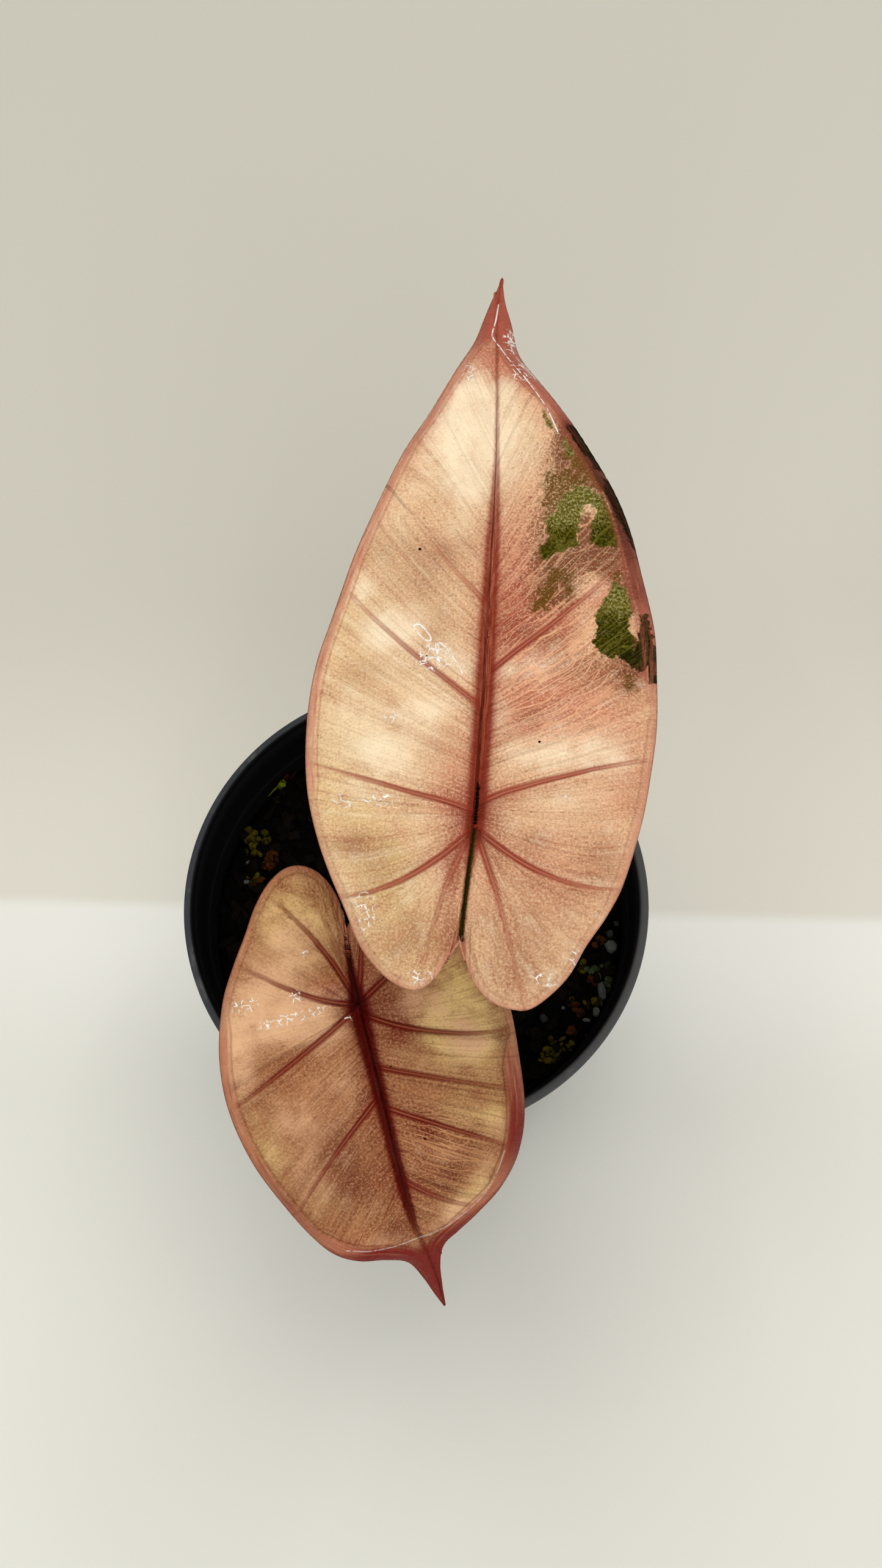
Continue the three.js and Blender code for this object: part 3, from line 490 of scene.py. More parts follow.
# A stalk follows its route from the crown. A section row is the place along the route, the
# half-width and half-thickness of its ellipse, and the radius that it is bent round.
UPPER_STALK = {
    "route": [(5.2, 1.6, 76.3), (5.4, 1.8, 90), (7, 1.4, 110), (10, -2.2, 133), (12.7, -7, 150),
              (13.3, -8.5, 158.9)],
    "sections": [(0, 3.0, 2.9, 0), (0.15, 2.7, 2.6, 0), (0.5, 2.2, 2.1, 0), (1, 1.7, 1.7, 0)],
    "towards": (-1, 0, 0),
}
LOWER_STALK = {
    "route": [(1.05, -1.3, 76.3), (0.9, -1.5, 88), (-1.2, -6, 103), (-5.2, -16, 114),
              (-9.4, -27.5, 123.5), (-11.5, -33.4, 132.5)],
    "sections": [(0, 6.4, 1.2, 4.9), (0.14, 5.4, 1.2, 5), (0.3, 3, 1.7, 9), (0.45, 2.2, 2.1, 0),
                 (1, 1.6, 1.6, 0)],
    "towards": (0.82, 0.57, 0),
}
STALK_STEPS = 120
STALK_SIDES = 40
# Depth of the stalk's grooves as a share, and their number
STALK_GROOVES = (0.012, 9)
# Height of the swellings as a share, length that they are drawn over, wavelength and seed
STALK_SWELL = (0.02, 60, 14, 8)
STALK_SKIN = 90
CROWN = {"x": 4, "y": 1, "above": 6, "below": 15, "scar": 2}
CROWN_SIDES = 160
# A leaf scar's rows: share of the stem's radius and height over the scar
SCAR_ROWS = [(0.985, -0.35), (1, 0), (1, 0.5), (0.93, 0.9), (0.92, 1.3)]
# Depth of the stem's ribs as a share, and the waves round it with their lean by height
CROWN_RIBS = (0.014, (23, 0.4), (41, -1))

# The pot's floor: drain holes, each in a patch that spans an equal share of the turn
DRAINS = 8
DRAIN_BAND = 12
PATCH_SIDE = 24
PATCH_RINGS = 5
DISC_RINGS = 5
EDGE_ROUND = 0.35

# The potting mix. A stone or a strip is its place, its three half-sizes and its turn, and a patch
# its place, its two spreads and its number of pieces.
# A crumb row is its height, wavelength, seed and number of waves.
SOIL = {"swell": 0.6, "lumps": 90, "spread": 46, "lump_height": 2.6, "lump_radius": 3.6}
CRUMBS = [(0.35, 4, 11, 9), (0.22, 1.7, 12, 9)]
BED_SIDES = 300
BED_RINGS = 90
BED_EDGE = 2.5
PLUG_HEIGHT = 6
PLUG_INSET = 2.2
STREWN_REACH = 44
CROWN_CLEARANCE = 8.5
PEBBLE_RINGS = 5
PEBBLE_SIDES = 7
CHIP_SPANS = [(0.9, 2.8), (0.6, 1.5), (0.4, 1.0)]
STONES = [
    (41.6, -7.8, 0.9, 1.1, 0.8, 0), (41.4, -11, 1.3, 1.6, 1.2, 10), (43.4, -5.3, 0.8, 0.7, 0.6, 0),
    (37.8, -17.6, 0.7, 1.2, 0.7, 0), (38.3, -20.4, 0.9, 2.4, 0.9, 5), (36.6, -24.6, 0.8, 1.2, 0.7, -15),
    (40.2, -16.2, 1.4, 0.6, 0.6, -10), (34.3, -26.1, 1.1, 0.45, 0.5, -20),
    (34.2, -29.7, 0.5, 0.5, 0.5, 0), (-36.7, 17.3, 0.5, 0.5, 0.5, 0),
]
# Name, colour, seed, patches and strips
STREWN_BITS = [
    ("moss_tufts", "moss", 26, [
        (-35.4, 21.4, 0.7, 1.7, 26), (-32.4, 22.2, 0.3, 0.7, 5), (-36, 13.2, 0.8, 0.8, 9),
        (34.7, -14.2, 0.7, 0.8, 7), (36.6, -22.6, 0.5, 0.4, 6), (32, -22.6, 0.8, 0.5, 10),
        (27, -31.6, 1.5, 0.9, 24), (24.4, -33.4, 1, 0.8, 12), (2, -41, 1.6, 1, 9), (16, 39, 1.6, 1, 9),
    ], []),
    ("husk_bits", "husk", 27, [
        (-32.2, 16.4, 0.9, 1.2, 16), (-31.2, 18.2, 0.7, 0.9, 11), (-34, 12.4, 1.2, 0.8, 10),
        (33, -24, 0.6, 0.7, 8), (31.2, -28.2, 0.5, 0.5, 6), (36.2, -17.8, 0.5, 0.4, 5),
        (38.5, -9.1, 0.5, 0.5, 4), (-40, -10, 1, 1.4, 8),
    ], [(-27.8, 37.8, 2.6, 0.8, 0.6, -62), (-25, 37, 1.8, 0.6, 0.5, 70)]),
    ("green_bits", "shoot", 28, [(-27.4, 34.8, 0.4, 0.3, 3)], [(-30, 34.4, 2.4, 0.72, 0.6, 11)]),
    ("lichen_bits", "lichen", 29, [
        (36.7, -16, 0.7, 0.6, 9), (40.2, -19.2, 0.4, 0.9, 6), (39.4, -14.8, 0.9, 0.5, 5),
    ], []),
]

# The camera's axis meets the rim's plane at "rim", and the camera stands aside from the axis in its
# own plane. The lights stand in metres: a softbox is its name, place and share of the side power.
CAMERA = {"rim": (0, 0, 85), "elevation": 71.8, "roll": -6, "distance": 467.4, "aside": (-5.5, -25.3)}
SENSOR_WIDTH = 36
LIT_PLACE = (0, 0.02, 0.1)
KEY_PLACE = (0.06, 0.36, 1.2)
KEY_SIZE = (1.1, 1.0)
KEY_TINT = (1, 0.99, 0.97)
BOX_SIZE = (1.1, 0.9)
BOXES = [("left_box", (-1.2, -0.2, 0.9), 1), ("right_box", (1.2, -0.2, 0.9), 1),
         ("front_box", (0, -1.2, 0.9), 1.8)]
GLINT_SIZE = (0.04, 0.04)
GLINTS = [("glint_left", (-0.3, 0.12, 0.9)), ("glint_right", (0.34, 0.3, 0.85)),
          ("glint_back", (-0.05, 0.5, 0.9)), ("glint_front", (0.1, -0.5, 0.95))]
FLOOR_HALF = 3.0


# Curves, fields and grids


def smoothstep(x, low, high):
    """0 below low, 1 above high and 3 t^2 - 2 t^3 of the share t between them."""
    t = np.clip((x - low) / (high - low), 0, 1)
    return t * t * (3 - 2 * t)


def through(points, places):
    """A curve through points. Each span blends its four nearest points p0 to p3 by the cubic
    (2 p1 + (p2 - p0) t + (2 p0 - 5 p1 + 4 p2 - p3) t^2 + (3 p1 - p0 - 3 p2 + p3) t^3) / 2,
    and the places, from 0 to 1, share the spans evenly."""
    p = np.asarray(points, float)
    p = np.vstack([2 * p[0] - p[1], p, 2 * p[-1] - p[-2]])
    spans = len(p) - 3
    x = np.clip(places, 0, 1) * spans
    k = np.minimum(x.astype(int), spans - 1)
    t = (x - k)[..., None]
    p0, p1, p2, p3 = p[k], p[k + 1], p[k + 2], p[k + 3]
    cubic = (2 * p0 - 5 * p1 + 4 * p2 - p3) * t**2 + (3 * p1 - p0 - 3 * p2 + p3) * t**3
    return 0.5 * (2 * p1 + (p2 - p0) * t + cubic)


def ripples(x, y, wavelength, seed, count=6):
    """A smooth random relief between about -1 and 1: the mean of sines that run in drawn
    directions, with wavelengths from 0.6 to 1.6 times the one given."""
    draw = np.random.default_rng(seed)
    turn, phase = draw.uniform(0, 2 * np.pi, (2, count))
    waves = 2 * np.pi / (wavelength * draw.uniform(0.6, 1.6, count))
    drawn = zip(waves, turn, phase, strict=True)
    total = sum(np.sin(w * (x * np.cos(t) + y * np.sin(t)) + p) for w, t, p in drawn)
    return total / math.sqrt(count)


def soft_spots(x, y, spots):
    """The sum of weight * exp(-((x - x0) / rx)^2 - ((y - y0) / ry)^2) over the spots, up to 1."""
    total = np.zeros(np.shape(x))
    for x0, y0, rx, ry, weight in spots:
        total += weight * np.exp(-(((x - x0) / rx) ** 2) - ((y - y0) / ry) ** 2)
    return np.clip(total, 0, 1)


def line_distance(a, b, line):
    """Distance, signed distance and share of the way along a line of points, for each a, b. The
    nearest point of the line gives all three, and the sign is that of its tangent x offset."""
    offset_a = a[..., None] - line[:, 0]
    offset_b = b[..., None] - line[:, 1]
    nearest = np.argmin(offset_a**2 + offset_b**2, axis=-1)
    tangent = np.gradient(line[:, :2], axis=0)
    tangent /= np.linalg.norm(tangent, axis=1)[:, None]
    da = a - line[nearest, 0]
    db = b - line[nearest, 1]
    cross = tangent[nearest, 0] * db - tangent[nearest, 1] * da
    return np.hypot(da, db), cross, nearest / (len(line) - 1)


def outline_depth(a, b, outline):
    """Signed distance to a closed outline, positive inside: the least distance to its sides, with
    the sign from how many sides a line to the right of the point crosses."""
    corners = np.asarray(outline, float)
    least = np.full(a.shape, np.inf)
    inside = np.zeros(a.shape, bool)
    for (x0, y0), (x1, y1) in zip(corners, np.roll(corners, -1, axis=0), strict=True):
        dx, dy = x1 - x0, y1 - y0
        t = np.clip(((a - x0) * dx + (b - y0) * dy) / (dx * dx + dy * dy), 0, 1)
        least = np.minimum(least, np.hypot(a - x0 - t * dx, b - y0 - t * dy))
        crosses = (y0 > b) != (y1 > b)
        inside ^= crosses & (a < x0 + (b - y0) * dx / (dy if dy else 1))
    return np.where(inside, least, -least)


def grid_quads(rows, columns, wrap=False, start=0):
    """Faces of a grid of rows x columns vertices, in row order, whose normals point to the left of
    the way from row to row as the columns go forward. wrap joins the last column to the first."""
    row = np.arange(rows - 1)[:, None]
    column = np.arange(columns if wrap else columns - 1)[None, :]
    after = (column + 1) % columns
    corners = (row * columns + column, row * columns + after,
               (row + 1) * columns + after, (row + 1) * columns + column)
    return start + np.stack(np.broadcast_arrays(*corners), -1).reshape(-1, 4)


def add_piece(name, places, faces, material, nodes=(), values=None, maps=None, smooth=True):
    """A finished piece: places in millimetres of the row frame, its faces, its values at each
    vertex by name, and its UV maps by name, each a pair of values at each vertex."""
    mesh = bpy.data.meshes.new(name)
    mesh.from_pydata((np.asarray(places, float) * MM).tolist(), [], [tuple(face) for face in faces])
    for key, value in (values or {}).items():
        attribute = mesh.attributes.new(key, "FLOAT", "POINT")
        attribute.data.foreach_set("value", np.asarray(value, np.float32).ravel())
    if maps:
        corner = np.empty(len(mesh.loops), np.int64)
        mesh.loops.foreach_get("vertex_index", corner)
        for key, pair in maps.items():
            layer = mesh.uv_layers.new(name=key)
            layer.data.foreach_set("uv", np.asarray(pair, np.float32)[corner].ravel())
    mesh.polygons.foreach_set("use_smooth", np.full(len(mesh.polygons), smooth))
    mesh.materials.append(material)
    mesh.validate()
    mesh.update()
    piece = bpy.data.objects.new(name, mesh)
    bpy.context.scene.collection.objects.link(piece)
    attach(piece, "root")
    if nodes:
        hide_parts(*nodes)
    return piece


# Shader expressions


class Value:
    """A node's output. Arithmetic on it adds Math nodes, so a formula reads as Python."""

    def __init__(self, finish, socket):
        self.finish = finish
        self.socket = socket

    def math(self, operation, *values):
        return self.finish.node("ShaderNodeMath", {"operation": operation}, dict(enumerate(values)))

    def __add__(self, other):
        return self.math("ADD", self, other)

    def __sub__(self, other):
        return self.math("SUBTRACT", self, other)

    def __rsub__(self, other):
        return self.math("SUBTRACT", other, self)

    def __mul__(self, other):
        return self.math("MULTIPLY", self, other)

    def __truediv__(self, other):
        return self.math("DIVIDE", self, other)

    def __pow__(self, other):
        return self.math("POWER", self, other)

    def __neg__(self):
        return self.math("MULTIPLY", self, -1)

    def __abs__(self):
        return self.math("ABSOLUTE", self)

    __radd__ = __add__
    __rmul__ = __mul__

    def most(self, other):
        return self.math("MAXIMUM", self, other)

    def least(self, other):
        return self.math("MINIMUM", self, other)

    def bell(self, width):
        """exp(-(value / width)^2)"""
        share_of = self / width
        return self.math("EXPONENT", -(share_of * share_of))

    def smooth(self, low, high):
        """A smooth step from 0 at low to 1 at high, which may lie either way round."""
        inputs = {"Value": self, "From Min": low, "From Max": high}
        return self.finish.node("ShaderNodeMapRange", {"interpolation_type": "SMOOTHSTEP"}, inputs)


class Finish:
    """A procedural material, built round one Principled shader."""

    def __init__(self, name, constants=None):
        self.material = bpy.data.materials.new(name)
        self.material.use_nodes = True
        self.tree = self.material.node_tree
        self.tree.nodes.clear()
        self.shader = self.tree.nodes.new("ShaderNodeBsdfPrincipled")
        self.output = self.tree.nodes.new("ShaderNodeOutputMaterial")
        self.tree.links.new(self.shader.outputs[0], self.output.inputs["Surface"])
        for key, value in (constants or {}).items():
            self.shader.inputs[key].default_value = value

    def feed(self, socket, value):
        """Links a Value to a socket, or sets the socket to a number, a vector or a colour."""
        if isinstance(value, Value):
            self.tree.links.new(value.socket, socket)
        elif socket.type == "RGBA":
            socket.default_value = (*tuple(value)[:3], 1)
        else:
            socket.default_value = value

    def node(self, kind, settings=None, inputs=None, output=0):
        """A node of any type: its settings first, then its sockets by name or place."""
        made = self.tree.nodes.new(kind)
        for key, value in (settings or {}).items():
            setattr(made, key, value)
        for key, value in (inputs or {}).items():
            self.feed(made.inputs[key], value)
        return Value(self, made.outputs[output])

    def attribute(self, name):
        return self.node("ShaderNodeAttribute", {"attribute_name": name}, output=2)

    def parts(self, vector):
        split = self.tree.nodes.new("ShaderNodeSeparateXYZ")
        self.feed(split.inputs[0], vector)
        return [Value(self, socket) for socket in split.outputs]

    def vector(self, x, y, z=0):
        return self.node("ShaderNodeCombineXYZ", None, {0: x, 1: y, 2: z})

    def map_places(self, name):
        """The two values of a UV map, in millimetres: add_piece keeps them as they are."""
        return self.parts(self.node("ShaderNodeUVMap", {"uv_map": name}))[:2]

    def object_places(self):
        """Object coordinates in millimetres."""
        where = self.node("ShaderNodeTexCoord", output=3)
        scaled = self.node("ShaderNodeVectorMath", {"operation": "SCALE"}, {0: where, "Scale": 1 / MM})
        return scaled, self.parts(scaled)

    def noise(self, vector, scale, detail=2, roughness=0.5, distortion=0):
        inputs = {"Vector": vector, "Scale": scale, "Detail": detail, "Roughness": roughness,
                  "Distortion": distortion}
        return self.node("ShaderNodeTexNoise", None, inputs)

    def ruled(self, value, rate):
        """Distance to the nearest of the lines where value is whole, for a value that rises by
        rate for each millimetre."""
        return value.math("PINGPONG", value, 0.5) / rate

    def cell_edge(self, vector, scale):
        """Distance to the nearest border between random cells."""
        settings = {"feature": "DISTANCE_TO_EDGE"}
        return self.node("ShaderNodeTexVoronoi", settings, {"Vector": vector, "Scale": scale})

    def mix(self, factor, first, second):
        """Colour first where factor is 0 and second where it is 1."""
        inputs = {0: factor, 6: first, 7: second}
        return self.node("ShaderNodeMix", {"data_type": "RGBA"}, inputs, output=2)

    def lay(self, ground, *layers):
        """Colours laid over a ground in turn, each by its own factor."""
        for factor, tone in layers:
            ground = self.mix(factor, ground, tone)
        return ground

    def paint(self, color, roughness):
        """Feeds the shader's colour and roughness."""
        self.feed(self.shader.inputs["Base Color"], color)
        self.feed(self.shader.inputs["Roughness"], roughness)

    def bump(self, height, strength=1):
        """Relief whose height is in millimetres."""
        inputs = {"Height": height, "Strength": strength, "Distance": MM}
        self.feed(self.shader.inputs["Normal"], self.node("ShaderNodeBump", None, inputs))


# Leaf blades


def vein_line(rib, vein, steps):
    """A vein's quadratic curve (1 - t)^2 p0 + 2 t (1 - t) p1 + t^2 p2 from its start on the rib."""
    start, bend, end, _ = vein
    root = np.array([np.interp(start, rib[:, 1], rib[:, 0]), start])
    t = np.linspace(0, 1, steps + 1)[:, None]
    return (1 - t) ** 2 * root + 2 * t * (1 - t) * np.array(bend) + t**2 * np.array(end)


def blade_plan(blade, rib):
    """Plan places of one face. Row u joins the two margins at the same share u of their lines, and
    column s runs from the rib at 0 to the margin at 1, closer together towards the margin. A row's
    vein leaves the rib where the margin's table says, and swings to a shared place at the rib.
    The first and last vertex are the notch and the tip."""
    u = np.arange(1, BLADE_ROWS) / BLADE_ROWS
    even = np.linspace(0, 1, BLADE_COLUMNS + 1)
    s = even * (1.3 - 0.3 * even)
    ends = [through(blade[side], u) for side in ("left", "right")]
    middle = (ends[0][:, 2:] + ends[1][:, 2:]) / 2
    halves = []
    for end in ends:
        rib_b = middle + (end[:, 2:] - middle) * s
        rib_a = np.interp(rib_b, rib[:, 1], rib[:, 0])
        a = rib_a + (end[:, :1] - rib_a) * s
        b = rib_b + (end[:, 1:2] - rib_b) * s
        reach = np.hypot(end[:, :1] - rib_a, end[:, 1:2] - rib_b)
        halves.append(np.stack([a, b, reach], -1))
    rows = np.concatenate([halves[0][:, :0:-1], halves[1]], axis=1)
    notch = [*blade["left"][0][:2], 0]
    tip = [*blade["left"][-1][:2], 0]
    return np.vstack([[notch], rows.reshape(-1, 3), [tip]])


def margin_distance(blade, a, b):
    """Distance to the nearer margin, from many points on each."""
    places = np.linspace(0, 1, MARGIN_STEPS + 1)
    margin = np.vstack([through(blade[side], places) for side in ("left", "right")])
    least = np.empty(len(a))
    for part in np.array_split(np.arange(len(a)), 24):
        square = (a[part, None] - margin[:, 0]) ** 2 + (b[part, None] - margin[:, 1]) ** 2
        least[part] = np.sqrt(square.min(axis=1))
    return least


def strongest(a, b, lines, width):
    """The most, over all points of all lines, of strength * exp(-(distance / width)^2)."""
    most = np.zeros(len(a))
    for line, strength in lines:
        for part in np.array_split(np.arange(len(line)), max(1, len(line) // 40)):
            square = (a[:, None] - line[part, 0]) ** 2 + (b[:, None] - line[part, 1]) ** 2
            most = np.maximum(most, (strength[part] * np.exp(-square / width**2)).max(axis=1))
    return most


def blade_form(blade, a, b, reach, edge, ribs, veins):
    """Height over the blade's plane: an arch along it (tip_drop times the square of the share of
    the way to the tip, and the like for the lobes), a camber across it, a bend near the tip,
    valleys along its ribs and veins, a margin that rolls and folds down, and a slight ripple."""
    past = np.maximum(0, b - blade["bend_at"])
    arch = (
        -blade["tip_drop"] * (np.maximum(0, b) / blade["front"]) ** 2
        - blade["lobe_drop"] * (np.maximum(0, -b) / blade["back"]) ** 2
        - blade["camber"] * a * a
        - blade["bend"] * past * past / (past + BEND_EASE)
    )
    valley = RIB_VALLEY[0] * strongest(a, b, ribs, RIB_VALLEY[1])
    valley += VEIN_VALLEY[0] * strongest(a, b, veins, VEIN_VALLEY[1])
    drop = blade["roll"] * np.maximum(0, 1 - edge / blade["roll_width"]) ** 2
    for fold in blade["folds"]:
        along = smoothstep(b, fold["from"], fold["from"] + FOLD_EASE)
        along = along * (1 - smoothstep(b, fold["to"] - FOLD_EASE, fold["to"]))
        across = np.maximum(0, 1 - edge / fold["width"]) ** 1.4
        drop += np.where(np.sign(a) == fold["side"], fold["drop"] * along * across, 0)
    high, wavelength, wide = RIPPLE
    ripple = high * np.sin(2 * np.pi * b / wavelength + np.sign(a)) * np.maximum(0, 1 - edge / wide) ** 2
    return arch - valley + np.minimum(1, reach / NARROW) * (ripple - drop)


def grain_places(a, b, reach, rib, lines):
    """How far along its fine vein a place is, and which vein it is on, both in millimetres. On each
    side of the midrib the second value rises by the mean distance from one main vein to the next,
    and between two veins each has the share of the distance to the other. Along a vein it is the
    distance from the midrib, and behind the joint that from the joint."""
    along = np.sqrt(reach**2 + np.minimum(b, 0) ** 2)
    across = np.zeros(len(a))
    half = np.where(a >= np.interp(b, rib[:, 1], rib[:, 0]), 1, -1)
    for side in (-1, 1):
        here = half == side
        chosen = [line for line, _ in lines if np.sign(line[-1, 0]) == side]
        chosen.sort(key=lambda line: math.atan2(line[-1, 1], abs(line[-1, 0])))
        x, y = a[here], b[here]
        found = [line_distance(x, y, line) for line in chosen]
        level = 0.0
        value = -found[0][0]
        for i, (near, signed, _) in enumerate(found):
            above = signed * side >= 0
            if i + 1 == len(chosen):
                value = np.where(above, level + near, value)
                break
            step = line_distance(*chosen[i].T, chosen[i + 1])[0].mean()
            following = found[i + 1][0]
            between = level + step * near / np.maximum(near + following, 1e-6)
            value = np.where(above, between, value)
            level += step
        across[here] = value + SIDE_SHIFT * side
    return along, across


def nearest_line(a, b, lines):
    """Distance, signed distance, share of the way and weight of the nearest of the lines."""
    best = np.repeat([[np.inf], [FAR_INSIDE], [0], [0]], len(a), axis=1)
    for line, weight in lines:
        found = line_distance(a, b, line)
        best = np.where(found[0] < best[0], [*found, np.full(len(a), weight)], best)
    return best


def blade_marks(blade, a, b, edge, rib, lines):
    """What the leaf finish reads at each vertex, in millimetres or as shares."""
    rib_near, rib_side, _ = line_distance(a, b, rib)
    near, side, way, gain = nearest_line(a, b, lines)
    green = np.full(len(a), FAR_OUTSIDE)
    bloom = soft_spots(a, b, blade["bloomy"])
    own = np.zeros(len(a))
    for outline, silver in blade["sectors"]:
        depth = outline_depth(a, b, outline)
        own = np.where(depth > green, silver, own)
        green = np.maximum(green, depth)
    veil = np.full(len(a), FAR_OUTSIDE)
    for outline in blade["veils"]:
        veil = np.maximum(veil, outline_depth(a, b, outline))
    low, high = blade["slot"] or (0, -1)
    within = (b <= 0) | ((b >= low) & (b <= high))
    half = np.sign(a - np.interp(b, rib[:, 1], rib[:, 0]))
    band = np.zeros(len(a))
    width = np.full(len(a), NARROW_BAND)
    for where, start, end, wide, weight in blade["bands"]:
        part = smoothstep(b, start - BAND_EASE, start + BAND_EASE)
        part *= 1 - smoothstep(b, end - BAND_EASE, end + BAND_EASE)
        part = part * ((where == 0) | (half == where))
        band = np.maximum(band, weight * part)
        width = np.maximum(width, wide * part)
    # The nearest painted highlight line, for the painted glints
    steps = np.linspace(0, 1, PAINTED_GLINT_STEPS)
    glint = nearest_line(a, b, [(through(line, steps), weight) for line, weight in blade["painted_glints"]])
    marks = {
        "edge": edge,
        "rib_side": rib_near * np.sign(rib_side),
        "rib_half": np.interp(b, *np.array(blade["rib_half"]).T),
        "rib_gain": np.interp(b, *np.array(blade["rib_gain"]).T),
        "seam": np.where(within, rib_near, FAR_INSIDE),
        "vein_side": side,
        "vein_near": near,
        "vein_way": way,
        "vein_gain": gain,
        "green": green,
        "bloom": own + bloom,
        "ending": smoothstep(b, *blade["tip_from"]),
        "veil": veil,
        "band": band,
        "band_width": width,
        "glint_side": glint[1],
        "glint_near": glint[0],
        "glint_gain": glint[3],
    }
    return marks | {key: soft_spots(a, b, blade[key]) for key in SPOTS}


def vertex_normals(places, faces):
    """Unit normals: each face's cross product of its diagonals is added to its corners."""
    corner = places[faces]
    normal = np.cross(corner[:, 2] - corner[:, 0], corner[:, -1] - corner[:, 1])
    total = np.zeros_like(places)
    for k in range(faces.shape[1]):
        np.add.at(total, faces[:, k], normal)
    return total / np.linalg.norm(total, axis=1)[:, None]


def blade_frame(blade):
    """Turn and shift from a blade's own frame to the row frame."""
    turn = Matrix.Rotation(math.radians(blade["turn"]), 3, "Z")
    dip = Matrix.Rotation(-math.radians(blade["dip"]), 3, "X")
    return np.array(turn @ dip), np.array(blade["joint"], float)


def make_blade(name, blade, material, sizes):
    """A leaf blade: its upper face on the plan grid, its underside set off along the normals by
    the leaf's thickness and the ridges of its veins, and a strip along the margin that joins them."""
    rib = through(blade["rib"], np.linspace(0, 1, RIB_STEPS + 1))
    a, b, reach = blade_plan(blade, rib).T
    edge = margin_distance(blade, a, b)
    way = np.where(rib[:, 1] > 0, rib[:, 1] / blade["front"], -rib[:, 1] / blade["back"])
    ribs = [(rib, 1 - RIB_FADE * way)]
    fade = 1 - RIB_FADE * np.linspace(0, 1, VEIN_STEPS + 1)
    veins = [(vein_line(rib, vein, VEIN_STEPS), vein[3] * fade) for vein in blade["veins"]]
    fine_lines = [(vein_line(rib, vein, FINE_STEPS), vein[3]) for vein in blade["veins"]]
    marks = blade_marks(blade, a, b, edge, rib, fine_lines)
    along, across = grain_places(a, b, reach, rib, fine_lines)

    def groove(offset, width):
        return np.exp(-((offset / width) ** 2))

    room = np.minimum(1, reach / NARROW)
    form = blade_form(blade, a, b, reach, edge, ribs, veins)
    deep, wide = VEIN_GROOVE
    grooves = deep * marks["vein_gain"] * (1 - marks["vein_way"] * 0.6) * groove(marks["vein_near"], wide)
    grooves += RIB_GROOVE * groove(marks["rib_side"], marks["rib_half"])
    grooves += SEAM_GROOVE[0] * groove(marks["seam"], SEAM_GROOVE[1]) * room
    grooves += MARGIN_GROOVE[0] * groove(edge - MARGIN_GROOVE[1], MARGIN_GROOVE[2]) * room
    quilt = QUILT[0] * ripples(a, b, *QUILT[1:])
    quilt += FINE_QUILT[0] * ripples(along * 0.7, across, *FINE_QUILT[1:])
    height = form - grooves + quilt * room * smoothstep(edge, 0, 5)

    columns = 2 * BLADE_COLUMNS + 1
    rows = BLADE_ROWS - 1
    last = len(a) - 1
    quads = grid_quads(rows, columns, start=1)
    ends = np.arange(columns - 1)
    final_row = 1 + (rows - 1) * columns
    notch = np.stack([np.zeros_like(ends), ends + 2, ends + 1], -1)
    tip = np.stack([final_row + ends, final_row + ends + 1, np.full_like(ends, last)], -1)
    top = np.stack([a, b, height], -1)
    normals = vertex_normals(top, quads)
    normals[[0, last]] = (0, 0, 1)

    thickness, thin = sizes.thickness / MM, sizes.margin / MM
    ridges = RIB_RIDGE[0] * strongest(a, b, ribs, RIB_RIDGE[1])
    ridges += VEIN_RIDGE[0] * strongest(a, b, veins, VEIN_RIDGE[1])
    depth = thin + (thickness - thin) * smoothstep(edge, 0, THIN_MARGIN)
    depth += np.minimum(room, np.minimum(1, edge / NARROW)) * ridges
    under = top - depth[:, None] * normals

    count = len(a)
    row_starts = 1 + np.arange(rows) * columns
    left = np.r_[0, row_starts, last]
    right = np.r_[0, row_starts + columns - 1, last]
    sheets = [quads, notch, tip]
    sheets += [sheet[:, ::-1] + count for sheet in sheets]
    sheets.append(np.stack([left[:-1], left[1:], left[1:] + count, left[:-1] + count], -1))
    sheets.append(np.stack([right[1:], right[:-1], right[:-1] + count, right[1:] + count], -1))
    faces = [face for sheet in sheets for face in sheet]

    turn, joint = blade_frame(blade)
    places = np.vstack([top, under]) @ turn.T + joint
    values = {key: np.tile(value, 2) for key, value in marks.items()}
    values["below"] = np.repeat([0.0, 1.0], count)
    maps = {
        "plan": np.tile(np.stack([a, b], -1), (2, 1)),
        "grain": np.tile(np.stack([along, across], -1), (2, 1)),
    }
    return add_piece(name, places, faces, material, [name_of_node(name)], values, maps)


def name_of_node(piece):
    """The CAD node that a piece stands for: leaf_upper stands for blade_upper, and so on."""
    return piece.replace("leaf", "blade").replace("stalk", "petiole")


